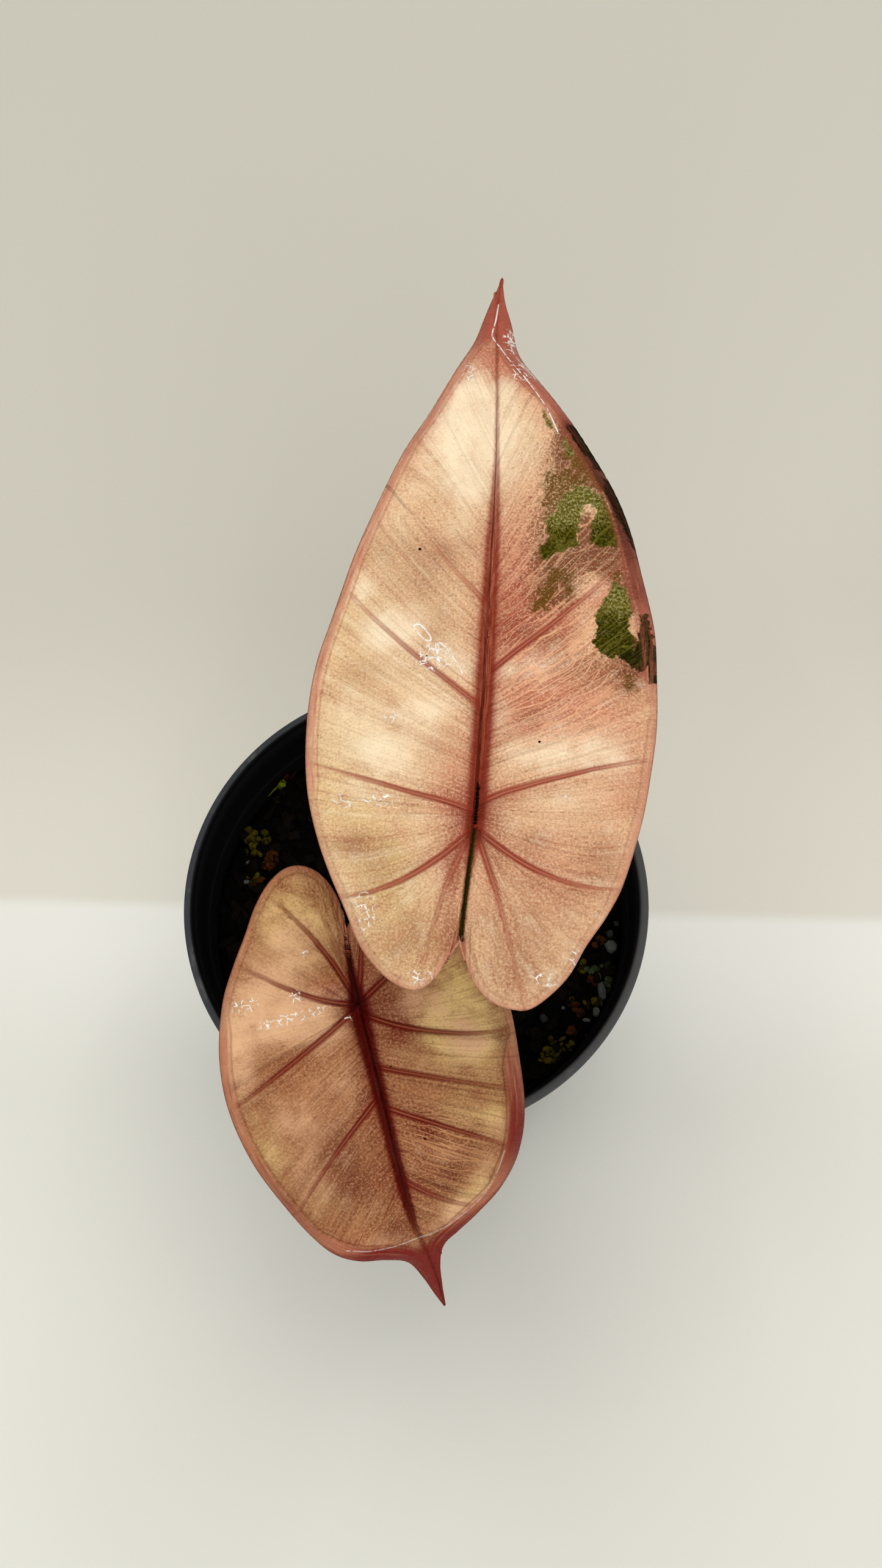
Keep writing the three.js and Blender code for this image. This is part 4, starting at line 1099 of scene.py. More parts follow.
def leaf_fields(f):
    """What the parts of a leaf's finish share: the blade's marks, the places on its plan and along
    its fine veins, noises from broad clouds to fine grain, and shares made of these."""
    leaf = SimpleNamespace(**{key: f.attribute(key) for key in (*MARKS, *SPOTS)})
    leaf.a, leaf.b = f.map_places("plan")
    leaf.along, leaf.across = f.map_places("grain")
    leaf.plan = f.vector(leaf.a, leaf.b)
    leaf.cloud = f.noise(leaf.plan, 0.12, 3, 0.55) - 0.5
    leaf.puff = f.noise(leaf.plan, 0.23, 4, 0.6, 0.5) - 0.5
    leaf.mottle = f.noise(f.vector(leaf.along * 0.9, leaf.across * 1.6), 1, 3, 0.7)
    leaf.grain = f.noise(leaf.plan, 2.1, 3, 0.75)
    leaf.fine = f.noise(leaf.plan, 2, 3, 0.75)
    leaf.speck = f.noise(f.vector(leaf.a, leaf.b, 4), 1.3, 2, 0.6)
    leaf.streaks = f.noise(f.vector(leaf.edge * 1.5, leaf.b * 0.1, 2), 1, 3, 0.7)
    crease = f.noise(f.vector(leaf.along * 0.24, leaf.across * 0.62), 1, 3, 0.6, 0.4) - 0.5
    leaf.swell = leaf.puff * 0.7 + leaf.cloud * 0.4 + crease * 0.8
    leaf.clear = 1 - leaf.pale * 0.7

    leaf.gain = leaf.vein_gain * (1 - leaf.vein_way * 0.68)
    leaf.rib = abs(leaf.rib_side)
    by_vein = leaf.vein_near.bell(3.2) * leaf.gain * 0.5
    leaf.halo = by_vein.most(leaf.rib.bell(4.5) * leaf.rib_gain * 0.5)
    fray = leaf.mottle * 0.5 + 0.75
    wide = 0.85 - leaf.vein_way * 0.56
    leaf.vein = (leaf.vein_near / (wide * fray)).smooth(1.4, 0.35) * leaf.gain.smooth(0, 0.65)
    leaf.shape = leaf.rib / (leaf.rib_half * fray)
    leaf.ring = (leaf.edge - leaf.band_width - 0.5).bell(0.22) * leaf.band

    leaf.jag = f.noise(leaf.plan, 0.6, 2, 0.6) + leaf.fine * 0.6 - 0.8
    leaf.sector = (leaf.green + leaf.jag * 2.6).smooth(-0.15, 0.25)
    leaf.black = leaf.bloom.smooth(0, -0.8)
    leaf.net = leaf_net(f, leaf)
    return leaf


def leaf_net(f, leaf):
    """Fine pale veins: threads along the fine veins or twigs that leave them, by turns over the
    blade, and loops between them."""
    drift = f.noise(leaf.plan, 0.1, 1, 0.4) * 4
    threads = f.ruled(leaf.across * 0.54 + drift, 0.54)
    twigs = f.ruled(leaf.across * 0.42 + leaf.along * 0.26 + drift * 1.4, 0.5)
    loops = f.cell_edge(f.vector(leaf.along * 0.4 + drift * 0.3, leaf.across * 0.6), 1)
    fade = f.noise(leaf.plan, 0.25, 2).smooth(0.34, 0.54)
    net = (threads.smooth(0.14, 0.04) * fade).most(twigs.smooth(0.13, 0.04) * (1 - fade) * 0.9)
    return net.most(loops.smooth(0.055, 0.02) * 0.65)


def leaf_ground(f, leaf, tones):
    """The ground: soft parts of four tones, a painted highlight on the swellings and painted shade
    between them, brown tissue beside the green sectors, the veins' tone near them, flecks of
    three sizes, pale grains and the net."""
    ground = tones.ground
    for key, amount in (("straw", 0.9), ("pink", 1), ("brown", 0.9), ("pale", 0.95)):
        field = getattr(leaf, key)
        uneven = (leaf.cloud + leaf.puff) * 0.75 * field.smooth(0, 0.5)
        ground = f.mix((field * amount + uneven).smooth(-0.1, 1.1), ground, getattr(tones, key))
    olive = leaf.olive + (leaf.grain + leaf.speck - 1) * 0.9
    flush = leaf.flush + (leaf.mottle + leaf.grain - 1) * 0.5
    dense = (leaf.lined * 0.35 + leaf.halo * 0.7 - leaf.swell * 0.6 + 0.5) * leaf.clear
    return f.lay(
        ground,
        # Painted light on the relief: the pale tone as highlight on the swellings, pink-brown as shade
        # between them
        (leaf.swell.smooth(0, 0.32) * 0.42, tones.pale),
        (leaf.swell.smooth(0.02, -0.28) * 0.42 * leaf.clear, f.mix(0.5, tones.pink, tones.brown)),
        (olive.smooth(0.1, 0.85) * 0.9, tones.olive),
        (leaf.halo * 0.4, tones.vein),
        (flush.smooth(0.05, 1) * 0.75, tones.vein),
        (leaf.mottle.smooth(0.5, 0.6) * dense * 0.38, tones.fleck),
        (leaf.grain.smooth(0.5, 0.58) * dense * 0.44, tones.fleck),
        (leaf.speck.smooth(0.64, 0.69) * dense * 0.6, tones.fleck),
        (leaf.grain.smooth(0.48, 0.38) * 0.28, tones.pale),
        (leaf.net * (leaf.lined * 0.78 - leaf.olive * 0.25 + 0.03), tones.net),
    )


def leaf_tissue(f, leaf, tones):
    """Green tissue with silvery cells and a net of its own, or nearly black tissue."""
    silver = leaf.fine.smooth(0.46, 0.62) * (leaf.bloom + leaf.jag).smooth(0.15, 1)
    return f.lay(
        f.mix((leaf.fine + leaf.bloom * 0.25).smooth(0.48, 0.66), srgb(40, 40, 2), tones.green),
        (silver * 0.85, tones.bloom),
        (leaf.net * 0.34, srgb(140, 128, 50)),
        (leaf.black, f.mix(leaf.fine.smooth(0.5, 0.62), srgb(20, 12, 5), srgb(40, 46, 12))),
    )


def leaf_veins(f, leaf, tones, ground, core_share):
    """Main veins, each with a darker line on both sides and a pale one between, and the midrib
    with dark sides and a streaked core."""
    line = abs(leaf.vein_side)
    double = (line - 0.42).bell(0.2) * leaf.vein_near.smooth(1.2, 0.6) * leaf.gain
    middle = line.smooth(0.2, 0.04) * leaf.vein_near.smooth(1, 0.5) * leaf.gain
    streak = f.noise(f.vector(leaf.rib_side * 2.2, leaf.b * 0.16, 7), 1, 2, 0.6)
    core = (leaf.rib / leaf.rib_half).smooth(0.8, 0.2) * streak.smooth(0.42, 0.6) * leaf.rib_gain
    sides = (leaf.rib - leaf.rib_half * 0.72).bell(0.26) * leaf.mottle.smooth(0.36, 0.56)
    return f.lay(
        ground,
        (leaf.vein * 0.92, tones.vein),
        (double * leaf.mottle.smooth(0.36, 0.56) * 0.7, tones.rib),
        (middle * 0.25, tones.net),
        (leaf.shape.smooth(1.8, 0.4) * leaf.rib_gain * 0.8, tones.vein),
        (leaf.shape.smooth(1.25, 0.45) * leaf.rib_gain * (leaf.grain * 0.4 + 0.78), tones.rib),
        (core * leaf.b.smooth(-5, 45) * core_share, tones.pink),
        (sides * leaf.rib_gain * 0.5, tones.rib),
    )


def leaf_margin(f, leaf, tones, ground, tissue):
    """The margin's band with its streaks, the rose tip, a thin line inside the band, a darker
    edge, and the black tissue that crosses the band."""
    edge, width = leaf.edge, leaf.band_width
    margin = f.lay(
        f.mix(leaf.rosy, tones.rim, tones.rose),
        (leaf.streaks.smooth(0.5, 0.66) * 0.5, tones.vein),
        (leaf.streaks.smooth(0.46, 0.32) * 0.35 * (1 - leaf.olive), tones.pale),
        ((leaf.olive * 1.3 * leaf.streaks.smooth(0.26, 0.46)).least(1), srgb(60, 18, 12)),
    )
    inside = (edge + (leaf.mottle - 0.5) * 0.7 - width).smooth(0.45, -0.45)
    tip = leaf.rosy * leaf.band.smooth(0.3, 0.9)
    torn = leaf.streaks.smooth(0.6, 0.44) * 0.5 + 0.5
    return f.lay(
        ground,
        (inside * leaf.band, margin),
        (tip * (edge - width).smooth(2.2, 0) * 0.45, tones.rose),
        (leaf.ending * (leaf.streaks - 0.5 + leaf.ending).smooth(0.2, 0.9) * 0.85, tones.rose),
        (leaf.ending * leaf.rib.smooth(0.9, 0.1) * 0.5, tones.vein),
        (leaf.ring * 0.5, tones.vein),
        (edge.smooth(0.35, 0.05) * 0.35, tones.vein),
        (leaf.sector * leaf.black.smooth(0.05, 0.4) * torn, tissue),
    )


def leaf_painted_highlights(f, leaf):
    """Painted highlights: near-white lines along the painted glint lines, and a broken film of painted
    highlight on the wrinkles of the wet spots.
    """
    broken = f.noise(leaf.plan, 0.9, 3, 0.7).smooth(0.4, 0.5)
    glint = abs(leaf.glint_side).smooth(0.2, 0.08) * leaf.glint_near.smooth(0.5, 0.3)
    wrinkle = f.cell_edge(f.vector(leaf.a * 0.75, leaf.b * 0.75, 5), 1).smooth(0.1, 0.04)
    painted_film = wrinkle * f.noise(leaf.plan, 0.8, 3, 0.6).smooth(0.46, 0.54) * leaf.wet.smooth(0.3, 0.6)
    return (glint * leaf.glint_gain * broken).most(painted_film)


def leaf_finish(name, blade, sizes, tones):
    """Leaf tissue: the ground, olive veils and green sectors, the veins, the margin, the seam of the
    back lobes, the slot above the joint in painted shade, dark dots and painted highlight lines,
    and on the other face the underside."""
    f = Finish(name, {"Specular IOR Level": 0.03, "Coat Roughness": 0.06})
    leaf = leaf_fields(f)
    below = leaf.below
    tissue = leaf_tissue(f, leaf, tones)
    veil = (leaf.veil + leaf.jag * 5).smooth(-0.8, 1.1) * leaf.fine.smooth(0.36, 0.52)
    ground = f.lay(leaf_ground(f, leaf, tones), (veil * 0.92, tones.veil), (leaf.sector, tissue))
    ground = leaf_veins(f, leaf, tones, ground, blade["core"])
    ground = leaf_margin(f, leaf, tones, ground, tissue)

    seam = leaf.seam + (leaf.speck - 0.5) * 0.5
    # Behind the joint the seam has its own tone; along the slot above the joint it is painted near-black,
    # the shade deep in the groove
    within = f.mix(leaf.b.smooth(-1, 1), tones.seam, srgb(24, 10, 5))
    ground = f.lay(ground, (seam.smooth(0.8, 0.4) * 0.7, tones.rib), (seam.smooth(0.5, 0.3), within))
    for x, y, r in blade["dots"]:
        apart = ((leaf.a - x) ** 2 + (leaf.b - y) ** 2) ** 0.5
        ground = f.mix(apart.smooth(r + DOT_BLUR, r - DOT_BLUR), ground, DOT_TONE)
    painted_highlight = leaf_painted_highlights(f, leaf)
    # Painted highlight: near-white laid over the upper face's colour
    ground = f.mix(painted_highlight * (1 - below) * 0.9, ground, srgb(255, 250, 240))
    underside = f.lay(
        tones.below,
        (leaf.vein * 0.7, tones.vein),
        (leaf.shape.smooth(1.5, 0.5) * leaf.rib_gain * 0.7, tones.vein),
        (leaf.mottle.smooth(0.5, 0.7) * 0.3, tones.vein),
        (leaf.net * 0.4, tones.pale),
        (leaf.sector * 0.7, tones.green),
    )
    dull = (leaf.mottle - 0.5) * 0.2 + below * 0.2 + leaf.sector * leaf.black * 0.5
    f.paint(color=f.mix(below, ground, underside), roughness=dull + sizes.roughness)
    f.feed(f.shader.inputs["Coat Weight"], (leaf.wet + sizes.gloss).least(1) * (1 - below))
    relief = leaf.mottle * 0.04 + leaf.grain * 0.03 - leaf.ring * 0.05 + leaf.swell * 1.3 + painted_highlight * 0.1
    f.bump(relief * (1 - below * 0.5), 0.8)
    return f.material


# Stalks and crown


def section_at(sections, v):
    """Half-width, half-thickness and curl at each place, by smooth steps between the rows."""
    rows = np.asarray(sections, float)
    after = np.clip(np.searchsorted(rows[:, 0], v, side="left"), 1, len(rows) - 1)
    low, high = rows[after - 1], rows[after]
    part = smoothstep(v, low[:, 0], high[:, 0])
    curls = [np.where(row[:, 3] > 0, 1 / np.maximum(row[:, 3], 1e-9), 0) for row in (low, high)]
    wide = low[:, 1] + (high[:, 1] - low[:, 1]) * part
    thick = low[:, 2] + (high[:, 2] - low[:, 2]) * part
    return wide, thick, curls[0] + (curls[1] - curls[0]) * part


def make_stalk(name, stalk, material):
    """A section (wide cos k, thick sin k), bent round a radius 1 / curl where it sheathes its
    neighbour, carried along the route. Each end closes in a flat cap of quads."""
    steps, sides = STALK_STEPS, STALK_SIDES
    v = np.linspace(0, 1, steps + 1)
    centre = through(stalk["route"], v)
    along = np.gradient(centre, axis=0)
    along[0] = (0, 0, 1)
    along /= np.linalg.norm(along, axis=1)[:, None]
    hug = np.array(stalk["towards"], float)
    towards = hug - along * (along @ hug)[:, None]
    towards /= np.linalg.norm(towards, axis=1)[:, None]
    across = np.cross(towards, along)
    wide, thick, curl = section_at(stalk["sections"], v)
    angle = (np.arange(sides) + 0.5) * 2 * np.pi / sides
    depth, count = STALK_GROOVES
    grooves = 1 + depth * np.sin(count * angle)
    height, length_drawn, wavelength, seed = STALK_SWELL
    swell = 1 + height * ripples(v * length_drawn, v * 0, wavelength, seed)[:, None]
    u = wide[:, None] * np.cos(angle) * grooves * swell
    w = thick[:, None] * np.sin(angle) * grooves
    bend = np.maximum(curl, 1e-6)[:, None]
    bent_u = (1 / bend - w) * np.sin(u * bend)
    bent_w = 1 / bend - (1 / bend - w) * np.cos(u * bend)
    places = centre[:, None] + across[:, None] * bent_u[..., None] + towards[:, None] * bent_w[..., None]
    faces = list(grid_quads(steps + 1, sides, wrap=True))
    k = np.arange(sides // 2 - 1)
    foot = np.stack([k + 1, k, sides - 1 - k, sides - 2 - k], -1)
    faces += [*foot, *(foot[:, ::-1] + steps * sides)]
    values = {"way": np.repeat(v, sides)}
    maps = {"skin": np.stack([np.tile(angle * 2, steps + 1), np.repeat(v * STALK_SKIN, sides)], -1)}
    node = [name_of_node(name)]
    return add_piece(name, places.reshape(-1, 3), faces, material, node, values, maps)


def capped(rings, first, last):
    """Rings of vertices joined by quads, with a fan from each end ring to a single vertex."""
    count, sides = rings.shape[:2]
    places = np.vstack([[first], rings.reshape(-1, 3), [last]])
    k = np.arange(sides)
    after = (k + 1) % sides
    final_ring = 1 + (count - 1) * sides
    faces = [
        *grid_quads(count, sides, wrap=True, start=1),
        *np.stack([np.zeros_like(k), 1 + after, 1 + k], -1),
        *np.stack([final_ring + k, final_ring + after, np.full_like(k, len(places) - 1)], -1),
    ]
    return places, faces


def lathe(profile, sides, x=0, y=0, wobble=None):
    """A profile of (radius, height) rows turned round an upright axis at x, y. Rows on the axis
    become single vertices. wobble gives a share by which radii change, from angle and height."""
    profile = np.asarray(profile, float)
    angle = np.arange(sides) * 2 * np.pi / sides
    inner = profile[1:-1]
    radius = np.repeat(inner[:, :1], sides, axis=1)
    if wobble is not None:
        radius = radius * (1 + wobble(angle[None, :], inner[:, 1:2]))
    rings = np.stack([x + radius * np.cos(angle), y + radius * np.sin(angle),
                      np.broadcast_to(inner[:, 1:2], radius.shape)], -1)
    return capped(rings, (x, y, profile[0, 1]), (x, y, profile[-1, 1]))


def make_crown(soil, stalks, material):
    """The short stem: a turned profile whose leaf scars step in and out at even heights, with
    ribs that follow its height."""
    r = stalks.crown_radius / MM
    top = soil.top / MM
    low, high = top - CROWN["below"], top + CROWN["above"]
    profile = [(0, low), (0.6 * r, low + 0.6), (0.9 * r, low + 4), (r, low + 9)]
    for z in np.arange(top, high - 1, CROWN["scar"]):
        profile += [(part * r, z + rise) for part, rise in SCAR_ROWS]
    profile += [(r, high - 1), (0.99 * r, high - 0.5), (0.94 * r, high), (0.5 * r, high), (0, high)]

    def fibres(angle, z):
        depth, *waves = CROWN_RIBS
        return depth * sum(np.sin(count * angle + z * lean) for count, lean in waves) - depth

    places, faces = lathe(profile, CROWN_SIDES, CROWN["x"], CROWN["y"], fibres)
    return add_piece("crown_stem", places, faces, material, ["crown"])


def stalk_finish(name, colour_value, vein):
    """Stalk skin: the stalk's colour, paler towards the leaf, with fine long streaks."""
    f = Finish(name, {"Coat Weight": 0.2, "Coat Roughness": 0.2})
    round_it, along = f.map_places("skin")
    way = f.attribute("way")
    streak = f.noise(f.vector(round_it * 1.6, along * 0.06), 1.4, 4, 0.6)
    spots = f.noise(f.vector(round_it * 1.2, along * 0.5, 3), 1.2, 3, 0.6)
    skin = f.mix(streak.smooth(0.42, 0.7) * 0.6, colour_value, vein)
    skin = f.mix(spots.smooth(0.58, 0.68) * 0.5, skin, vein)
    skin = f.mix(way.smooth(0.14, 0) * 0.6, skin, srgb(206, 176, 140))
    skin = f.mix(way.smooth(0.9, 1) * 0.5, skin, vein)
    f.paint(color=skin, roughness=0.4 + spots * 0.15)
    f.bump(streak * 0.12 + spots * 0.04, 0.7)
    return f.material


def crown_finish(stalks):
    """Stem skin: brown scar rings over paler tissue, with dry fibres."""
    f = Finish("crown_skin")
    _, (x, y, z) = f.object_places()
    fibre = f.noise(f.vector(x * 1.4, y * 1.4, z * 0.35), 1, 4, 0.7)
    ring = f.noise(f.vector(0, 0, z * 0.9), 1, 1)
    skin = f.mix(fibre.smooth(0.35, 0.65), stalks.scar, srgb(150, 112, 78))
    skin = f.mix(ring.smooth(0.5, 0.62) * 0.6, skin, srgb(58, 38, 24))
    f.paint(color=skin, roughness=0.6 + fibre * 0.25)
    f.bump(fibre * 0.3, 0.9)
    return f.material


# Pot


def wall_radius(pot, z):
    """The wall widens evenly from the foot's radius to that of the band's foot."""
    height, drop = pot.height / MM, pot.band_drop / MM
    foot = pot.foot_radius / MM
    top = (pot.rim_radius - pot.lip_width - pot.band_step) / MM
    return foot + (top - foot) * z / (height - drop)


def rounded(profile, radius, steps=4):
    """The profile with each corner cut by a quadratic curve (1 - t)^2 p0 + 2 t (1 - t) p1 + t^2 p2
    that starts and ends up to radius away from it."""
    p = np.asarray(profile, float)
    t = np.linspace(0, 1, steps)[:, None]
    rows = [p[:1]]
    for before, corner, after in zip(p, p[1:], p[2:]):
        starts = []
        for end in (before, after):
            way = end - corner
            span = np.linalg.norm(way)
            starts.append(corner + way * min(radius, 0.45 * span) / span)
        rows.append((1 - t) ** 2 * starts[0] + 2 * t * (1 - t) * corner + t**2 * starts[1])
    return np.vstack([*rows, p[-1:]])


def drain_ring(pot, z, upward):
    """One level of the floor between the drain circle's inner and outer bounds. Round each hole,
    the ring at share 0 is the hole and the ring at share 1 is the rim of a patch that spans an
    equal share of the turn, both in (angle, radius), with straight lines between them."""
    reach = pot.drain_circle / MM
    hole = pot.drain_radius / MM
    half_turn, half_width = np.pi / DRAINS, DRAIN_BAND / 2
    side = np.linspace(-1, 1, PATCH_SIDE + 1)[:-1]
    one = np.ones_like(side)
    square = np.vstack([np.stack([side, -one], -1), np.stack([one, side], -1),
                        np.stack([-side, one], -1), np.stack([-one, -side], -1)])
    turn = np.arctan2(square[:, 1], square[:, 0])
    inner = np.stack([np.cos(turn) * hole / reach, np.sin(turn) * hole], -1)
    outer = square * (half_turn, half_width)
    part = np.linspace(0, 1, PATCH_RINGS)[:, None, None]
    patch = inner + (outer - inner) * part
    middle = (np.arange(DRAINS) + 0.5) * 2 * np.pi / DRAINS
    angle = middle[:, None, None] + patch[..., 0]
    radius = np.broadcast_to(reach + patch[..., 1], angle.shape)
    places = np.stack([radius * np.cos(angle), radius * np.sin(angle), np.full(angle.shape, z)], -1)
    count = len(square)
    quads = grid_quads(PATCH_RINGS, count, wrap=True)
    starts = (np.arange(DRAINS) * PATCH_RINGS * count)[:, None, None]
    faces = (quads[None] + starts).reshape(-1, 4)
    return places.reshape(-1, 3), faces if upward else faces[:, ::-1]


def welded(places, faces):
    """The same surface with the vertices that lie within 0.001 mm of each other made one, and
    faces of fewer than three corners dropped."""
    keys = np.round(np.asarray(places) / 0.001).astype(np.int64)
    _, first, renamed = np.unique(keys, axis=0, return_index=True, return_inverse=True)
    renamed = renamed.ravel()
    kept = []
    for face in faces:
        corners = list(dict.fromkeys(renamed[list(face)].tolist()))
        if len(corners) > 2:
            kept.append(tuple(corners))
    return np.asarray(places)[first], kept


def turned(profile, sides):
    """Rings of an open profile turned round the origin's axis, and the quads between them."""
    profile = np.asarray(profile, float)
    angle = np.arange(sides) * 2 * np.pi / sides
    rings = np.stack([profile[:, :1] * np.cos(angle), profile[:, :1] * np.sin(angle),
                      np.broadcast_to(profile[:, 1:], (len(profile), sides))], -1)
    return rings.reshape(-1, 3), grid_quads(len(profile), sides, wrap=True)


def make_pot(pot, material):
    """The pot: a turned wall with a stepped band under a flat lip, closed over a floor whose
    middle is a disc and whose drain holes sit in patches, each with a tube between the floor's
    two faces."""
    keys = ("height", "rim_radius", "foot_radius", "wall", "floor", "lip_width", "lip_thickness")
    height, rim, foot, wall, floor, lip, thick = (getattr(pot, key) / MM for key in keys)
    band_foot = height - pot.band_drop / MM
    neck = wall_radius(pot, band_foot)
    band = neck + pot.band_step / MM
    sides = DRAINS * PATCH_SIDE
    reach = pot.drain_circle / MM
    near, far = reach - DRAIN_BAND / 2, reach + DRAIN_BAND / 2
    inner_top = rim - lip
    outline = [
        (far, 0), (foot - 1.6, 0), (foot - 0.4, 0.5), (foot, 1.8), (neck, band_foot),
        (band, band_foot + 1.4), (band + 0.3, height - thick - 0.8), (band + 0.9, height - thick),
        (rim - 0.3, height - thick), (rim, height - thick + 0.4), (rim, height - 0.7),
        (rim - 0.3, height - 0.2), (rim - 0.9, height), (inner_top + 0.8, height),
        (inner_top + 0.25, height - 0.3), (inner_top, height - 1), (band - wall, band_foot + 1.6),
        (neck - wall, band_foot - 0.4), (wall_radius(pot, floor + 1.5) - wall, floor + 1.5),
        (foot - wall - 1.6, floor), (far, floor),
    ]
    levels = [drain_ring(pot, z, upward) for z, upward in ((0, False), (floor, True))]
    parts = [turned(rounded(outline, EDGE_ROUND), sides), *levels]
    count = 4 * PATCH_SIDE
    holes = [places.reshape(DRAINS, PATCH_RINGS, count, 3)[:, 0] for places, _ in levels]
    tube = grid_quads(2, count, wrap=True)[:, ::-1]
    parts += [(np.vstack(pair), tube) for pair in zip(*holes, strict=True)]
    k = np.arange(sides)
    for z, upward in ((0, False), (floor, True)):
        rings = [(near * step / DISC_RINGS, z) for step in range(1, DISC_RINGS + 1)]
        places, quads = turned(rings, sides)
        fan = np.stack([np.full(sides, len(places)), k, (k + 1) % sides], -1)
        faces = [*quads, *fan]
        if upward:
            faces = [face[::-1] for face in faces]
        parts.append((np.vstack([places, [(0, 0, z)]]), faces))
    places, faces, start = [], [], 0
    for part, quads in parts:
        places.append(part)
        faces += [tuple(int(v) + start for v in face) for face in quads]
        start += len(part)
    places, faces = welded(np.vstack(places), faces)
    return add_piece("pot_shell", places, faces, material, ["pot"])


def pot_finish(pot):
    """Black moulded plastic: fine orange-peel, and dull scuffs and dust on the lip. The lip's crest is a
    painted grey sheen, lighter on the right where light falls; its inner rounding and the inner wall from
    just below the rim down are painted near-black shade.
    """
    f = Finish("pot_plastic_skin", {"Specular IOR Level": 0.1})
    where, (x, y, z) = f.object_places()
    peel = f.noise(where, 1.4, 3, 0.6)
    smear = f.noise(where, 0.09, 4, 0.6)
    scratch = f.noise(f.vector(x * 0.6, y * 0.6, z * 6), 0.8, 3, 0.7)
    lip = z.smooth(pot.height / MM - 2, pot.height / MM - 0.4)
    reach = (x * x + y * y) ** 0.5
    band_foot = (pot.height - pot.band_drop) / MM
    bore = (z - band_foot) * 0.06 + wall_radius(pot, band_foot) + (pot.band_step - pot.wall / 2) / MM
    slope = (wall_radius(pot, band_foot) - pot.foot_radius / MM) / band_foot
    shell = reach - z * slope - pot.foot_radius / MM
    above = (reach - bore).smooth(0.1, -0.1) * z.smooth(band_foot, band_foot + 1)
    inner = shell.smooth(-0.3, -0.7).most(above)
    scuff = (smear * 0.6 + scratch * 0.4).smooth(0.5, 0.66) * lip
    # Painted light on the lip: its crest is painted a grey sheen, lighter towards the right where light
    # falls, and the rounding inside it is left for painted shade
    painted_light_side = x.smooth(-40, 46)
    rim = pot.rim_radius / MM
    painted_lit_crest = (reach + painted_light_side * 0.2 - rim + 1.5).smooth(-0.35 - painted_light_side * 0.4, 0.35)
    skin = f.mix(lip * painted_lit_crest, pot.plastic, f.mix(painted_light_side, srgb(59, 62, 66), srgb(81, 82, 82)))
    skin = f.mix(scuff * painted_lit_crest * 0.35, skin, pot.dust)
    skin = f.mix(smear.smooth(0.56, 0.7) * 0.12 * painted_lit_crest, skin, pot.dust)
    # Painted shade: the inner wall, from just below the rim down, and the lip's inner rounding are
    # painted near-black
    painted_inner_shade = z.smooth(pot.height / MM - 1, pot.height / MM - 7) * inner
    skin = f.mix(painted_inner_shade.most(lip * (1 - painted_lit_crest)), skin, (0.002, 0.002, 0.0022))
    f.paint(color=skin, roughness=(0.42 + smear * 0.2 + scuff * 0.2).most(inner))
    f.bump(peel * 0.05 + scratch * lip * 0.04, 0.7)
    return f.material


# Potting mix


def lump_table():
    """The CAD soil's lumps: places on a golden-angle spiral, and heights and radii from a linear
    congruential draw, state = state * 1664525 + 1013904223 modulo 2^32."""
    state = 7
    rows = []

    def draw():
        nonlocal state
        state = (state * 1664525 + 1013904223) % 4294967296
        return state / 4294967296

    for i in range(SOIL["lumps"]):
        reach = SOIL["spread"] * math.sqrt((i + 0.5) / SOIL["lumps"])
        angle = i * GOLDEN_TURN + draw() * 0.5
        high = SOIL["lump_height"] * (0.3 + 0.7 * draw())
        wide = SOIL["lump_radius"] * (0.6 + 0.6 * draw())
        rows.append((reach * math.cos(angle), reach * math.sin(angle), high, wide))
    return np.array(rows)


def soil_height(soil, x, y):
    """The level, two slow waves and the highest of the lumps' paraboloids, with crumbs on top."""
    swell = SOIL["swell"] * (np.sin(x * 0.19 + 1) + np.cos(y * 0.23 - x * 0.07))
    lift = np.zeros(np.shape(x))
    for lump_x, lump_y, high, radius in lump_table():
        lift = np.maximum(lift, high * (1 - ((x - lump_x) ** 2 + (y - lump_y) ** 2) / radius**2))
    crumbs = sum(high * ripples(x, y, *waves) for high, *waves in CRUMBS)
    return soil.top / MM - 1.5 + swell + lift + crumbs


def make_soil_bed(soil, pot, stalks, material):
    """The bed: rings that run from the wall in to the hole round the crown, at the soil's height,
    closed below by a tapered plug."""
    sides, rings = BED_SIDES, BED_RINGS
    gap_wall = pot.wall / MM + GAP
    edge_z = soil.top / MM - BED_EDGE
    hole = stalks.crown_radius / MM + GAP
    hole_floor = soil.top / MM - CROWN["below"] - GAP
    bottom = pot.floor / MM + GAP
    angle = np.arange(sides) * 2 * np.pi / sides
    c, s = np.cos(angle), np.sin(angle)
    base = pot.foot_radius / MM - pot.wall / MM - PLUG_INSET
    low = wall_radius(pot, PLUG_HEIGHT) - gap_wall
    side = wall_radius(pot, edge_z) - gap_wall
    part = np.linspace(0, 1, rings + 1)[:, None]
    x = side * c + (CROWN["x"] + hole * c - side * c) * part
    y = side * s + (CROWN["y"] + hole * s - side * s) * part
    z = soil_height(soil, x, y)
    z[0] = edge_z
    z[1] = (z[1] + edge_z) / 2
    top = np.stack([x, y, z], -1)

    def level(radius, height, middle=(0, 0)):
        upright = np.full(sides, float(height))
        return np.stack([middle[0] + radius * c, middle[1] + radius * s, upright], -1)[None]

    middle = (CROWN["x"], CROWN["y"])
    plug = (level(base, bottom), level(low, PLUG_HEIGHT))
    rows = np.concatenate([*plug, top, level(hole, hole_floor, middle)])
    places, faces = capped(rows, (0, 0, bottom), (*middle, hole_floor))
    return add_piece("soil_bed", places, faces, material, ["soil"])


def pebble(rings, sides):
    """A unit ball on a grid of rings and sides, each pole a single vertex."""
    polar = np.linspace(-np.pi / 2, np.pi / 2, rings)
    return lathe(np.stack([np.cos(polar), np.sin(polar)], -1), sides)


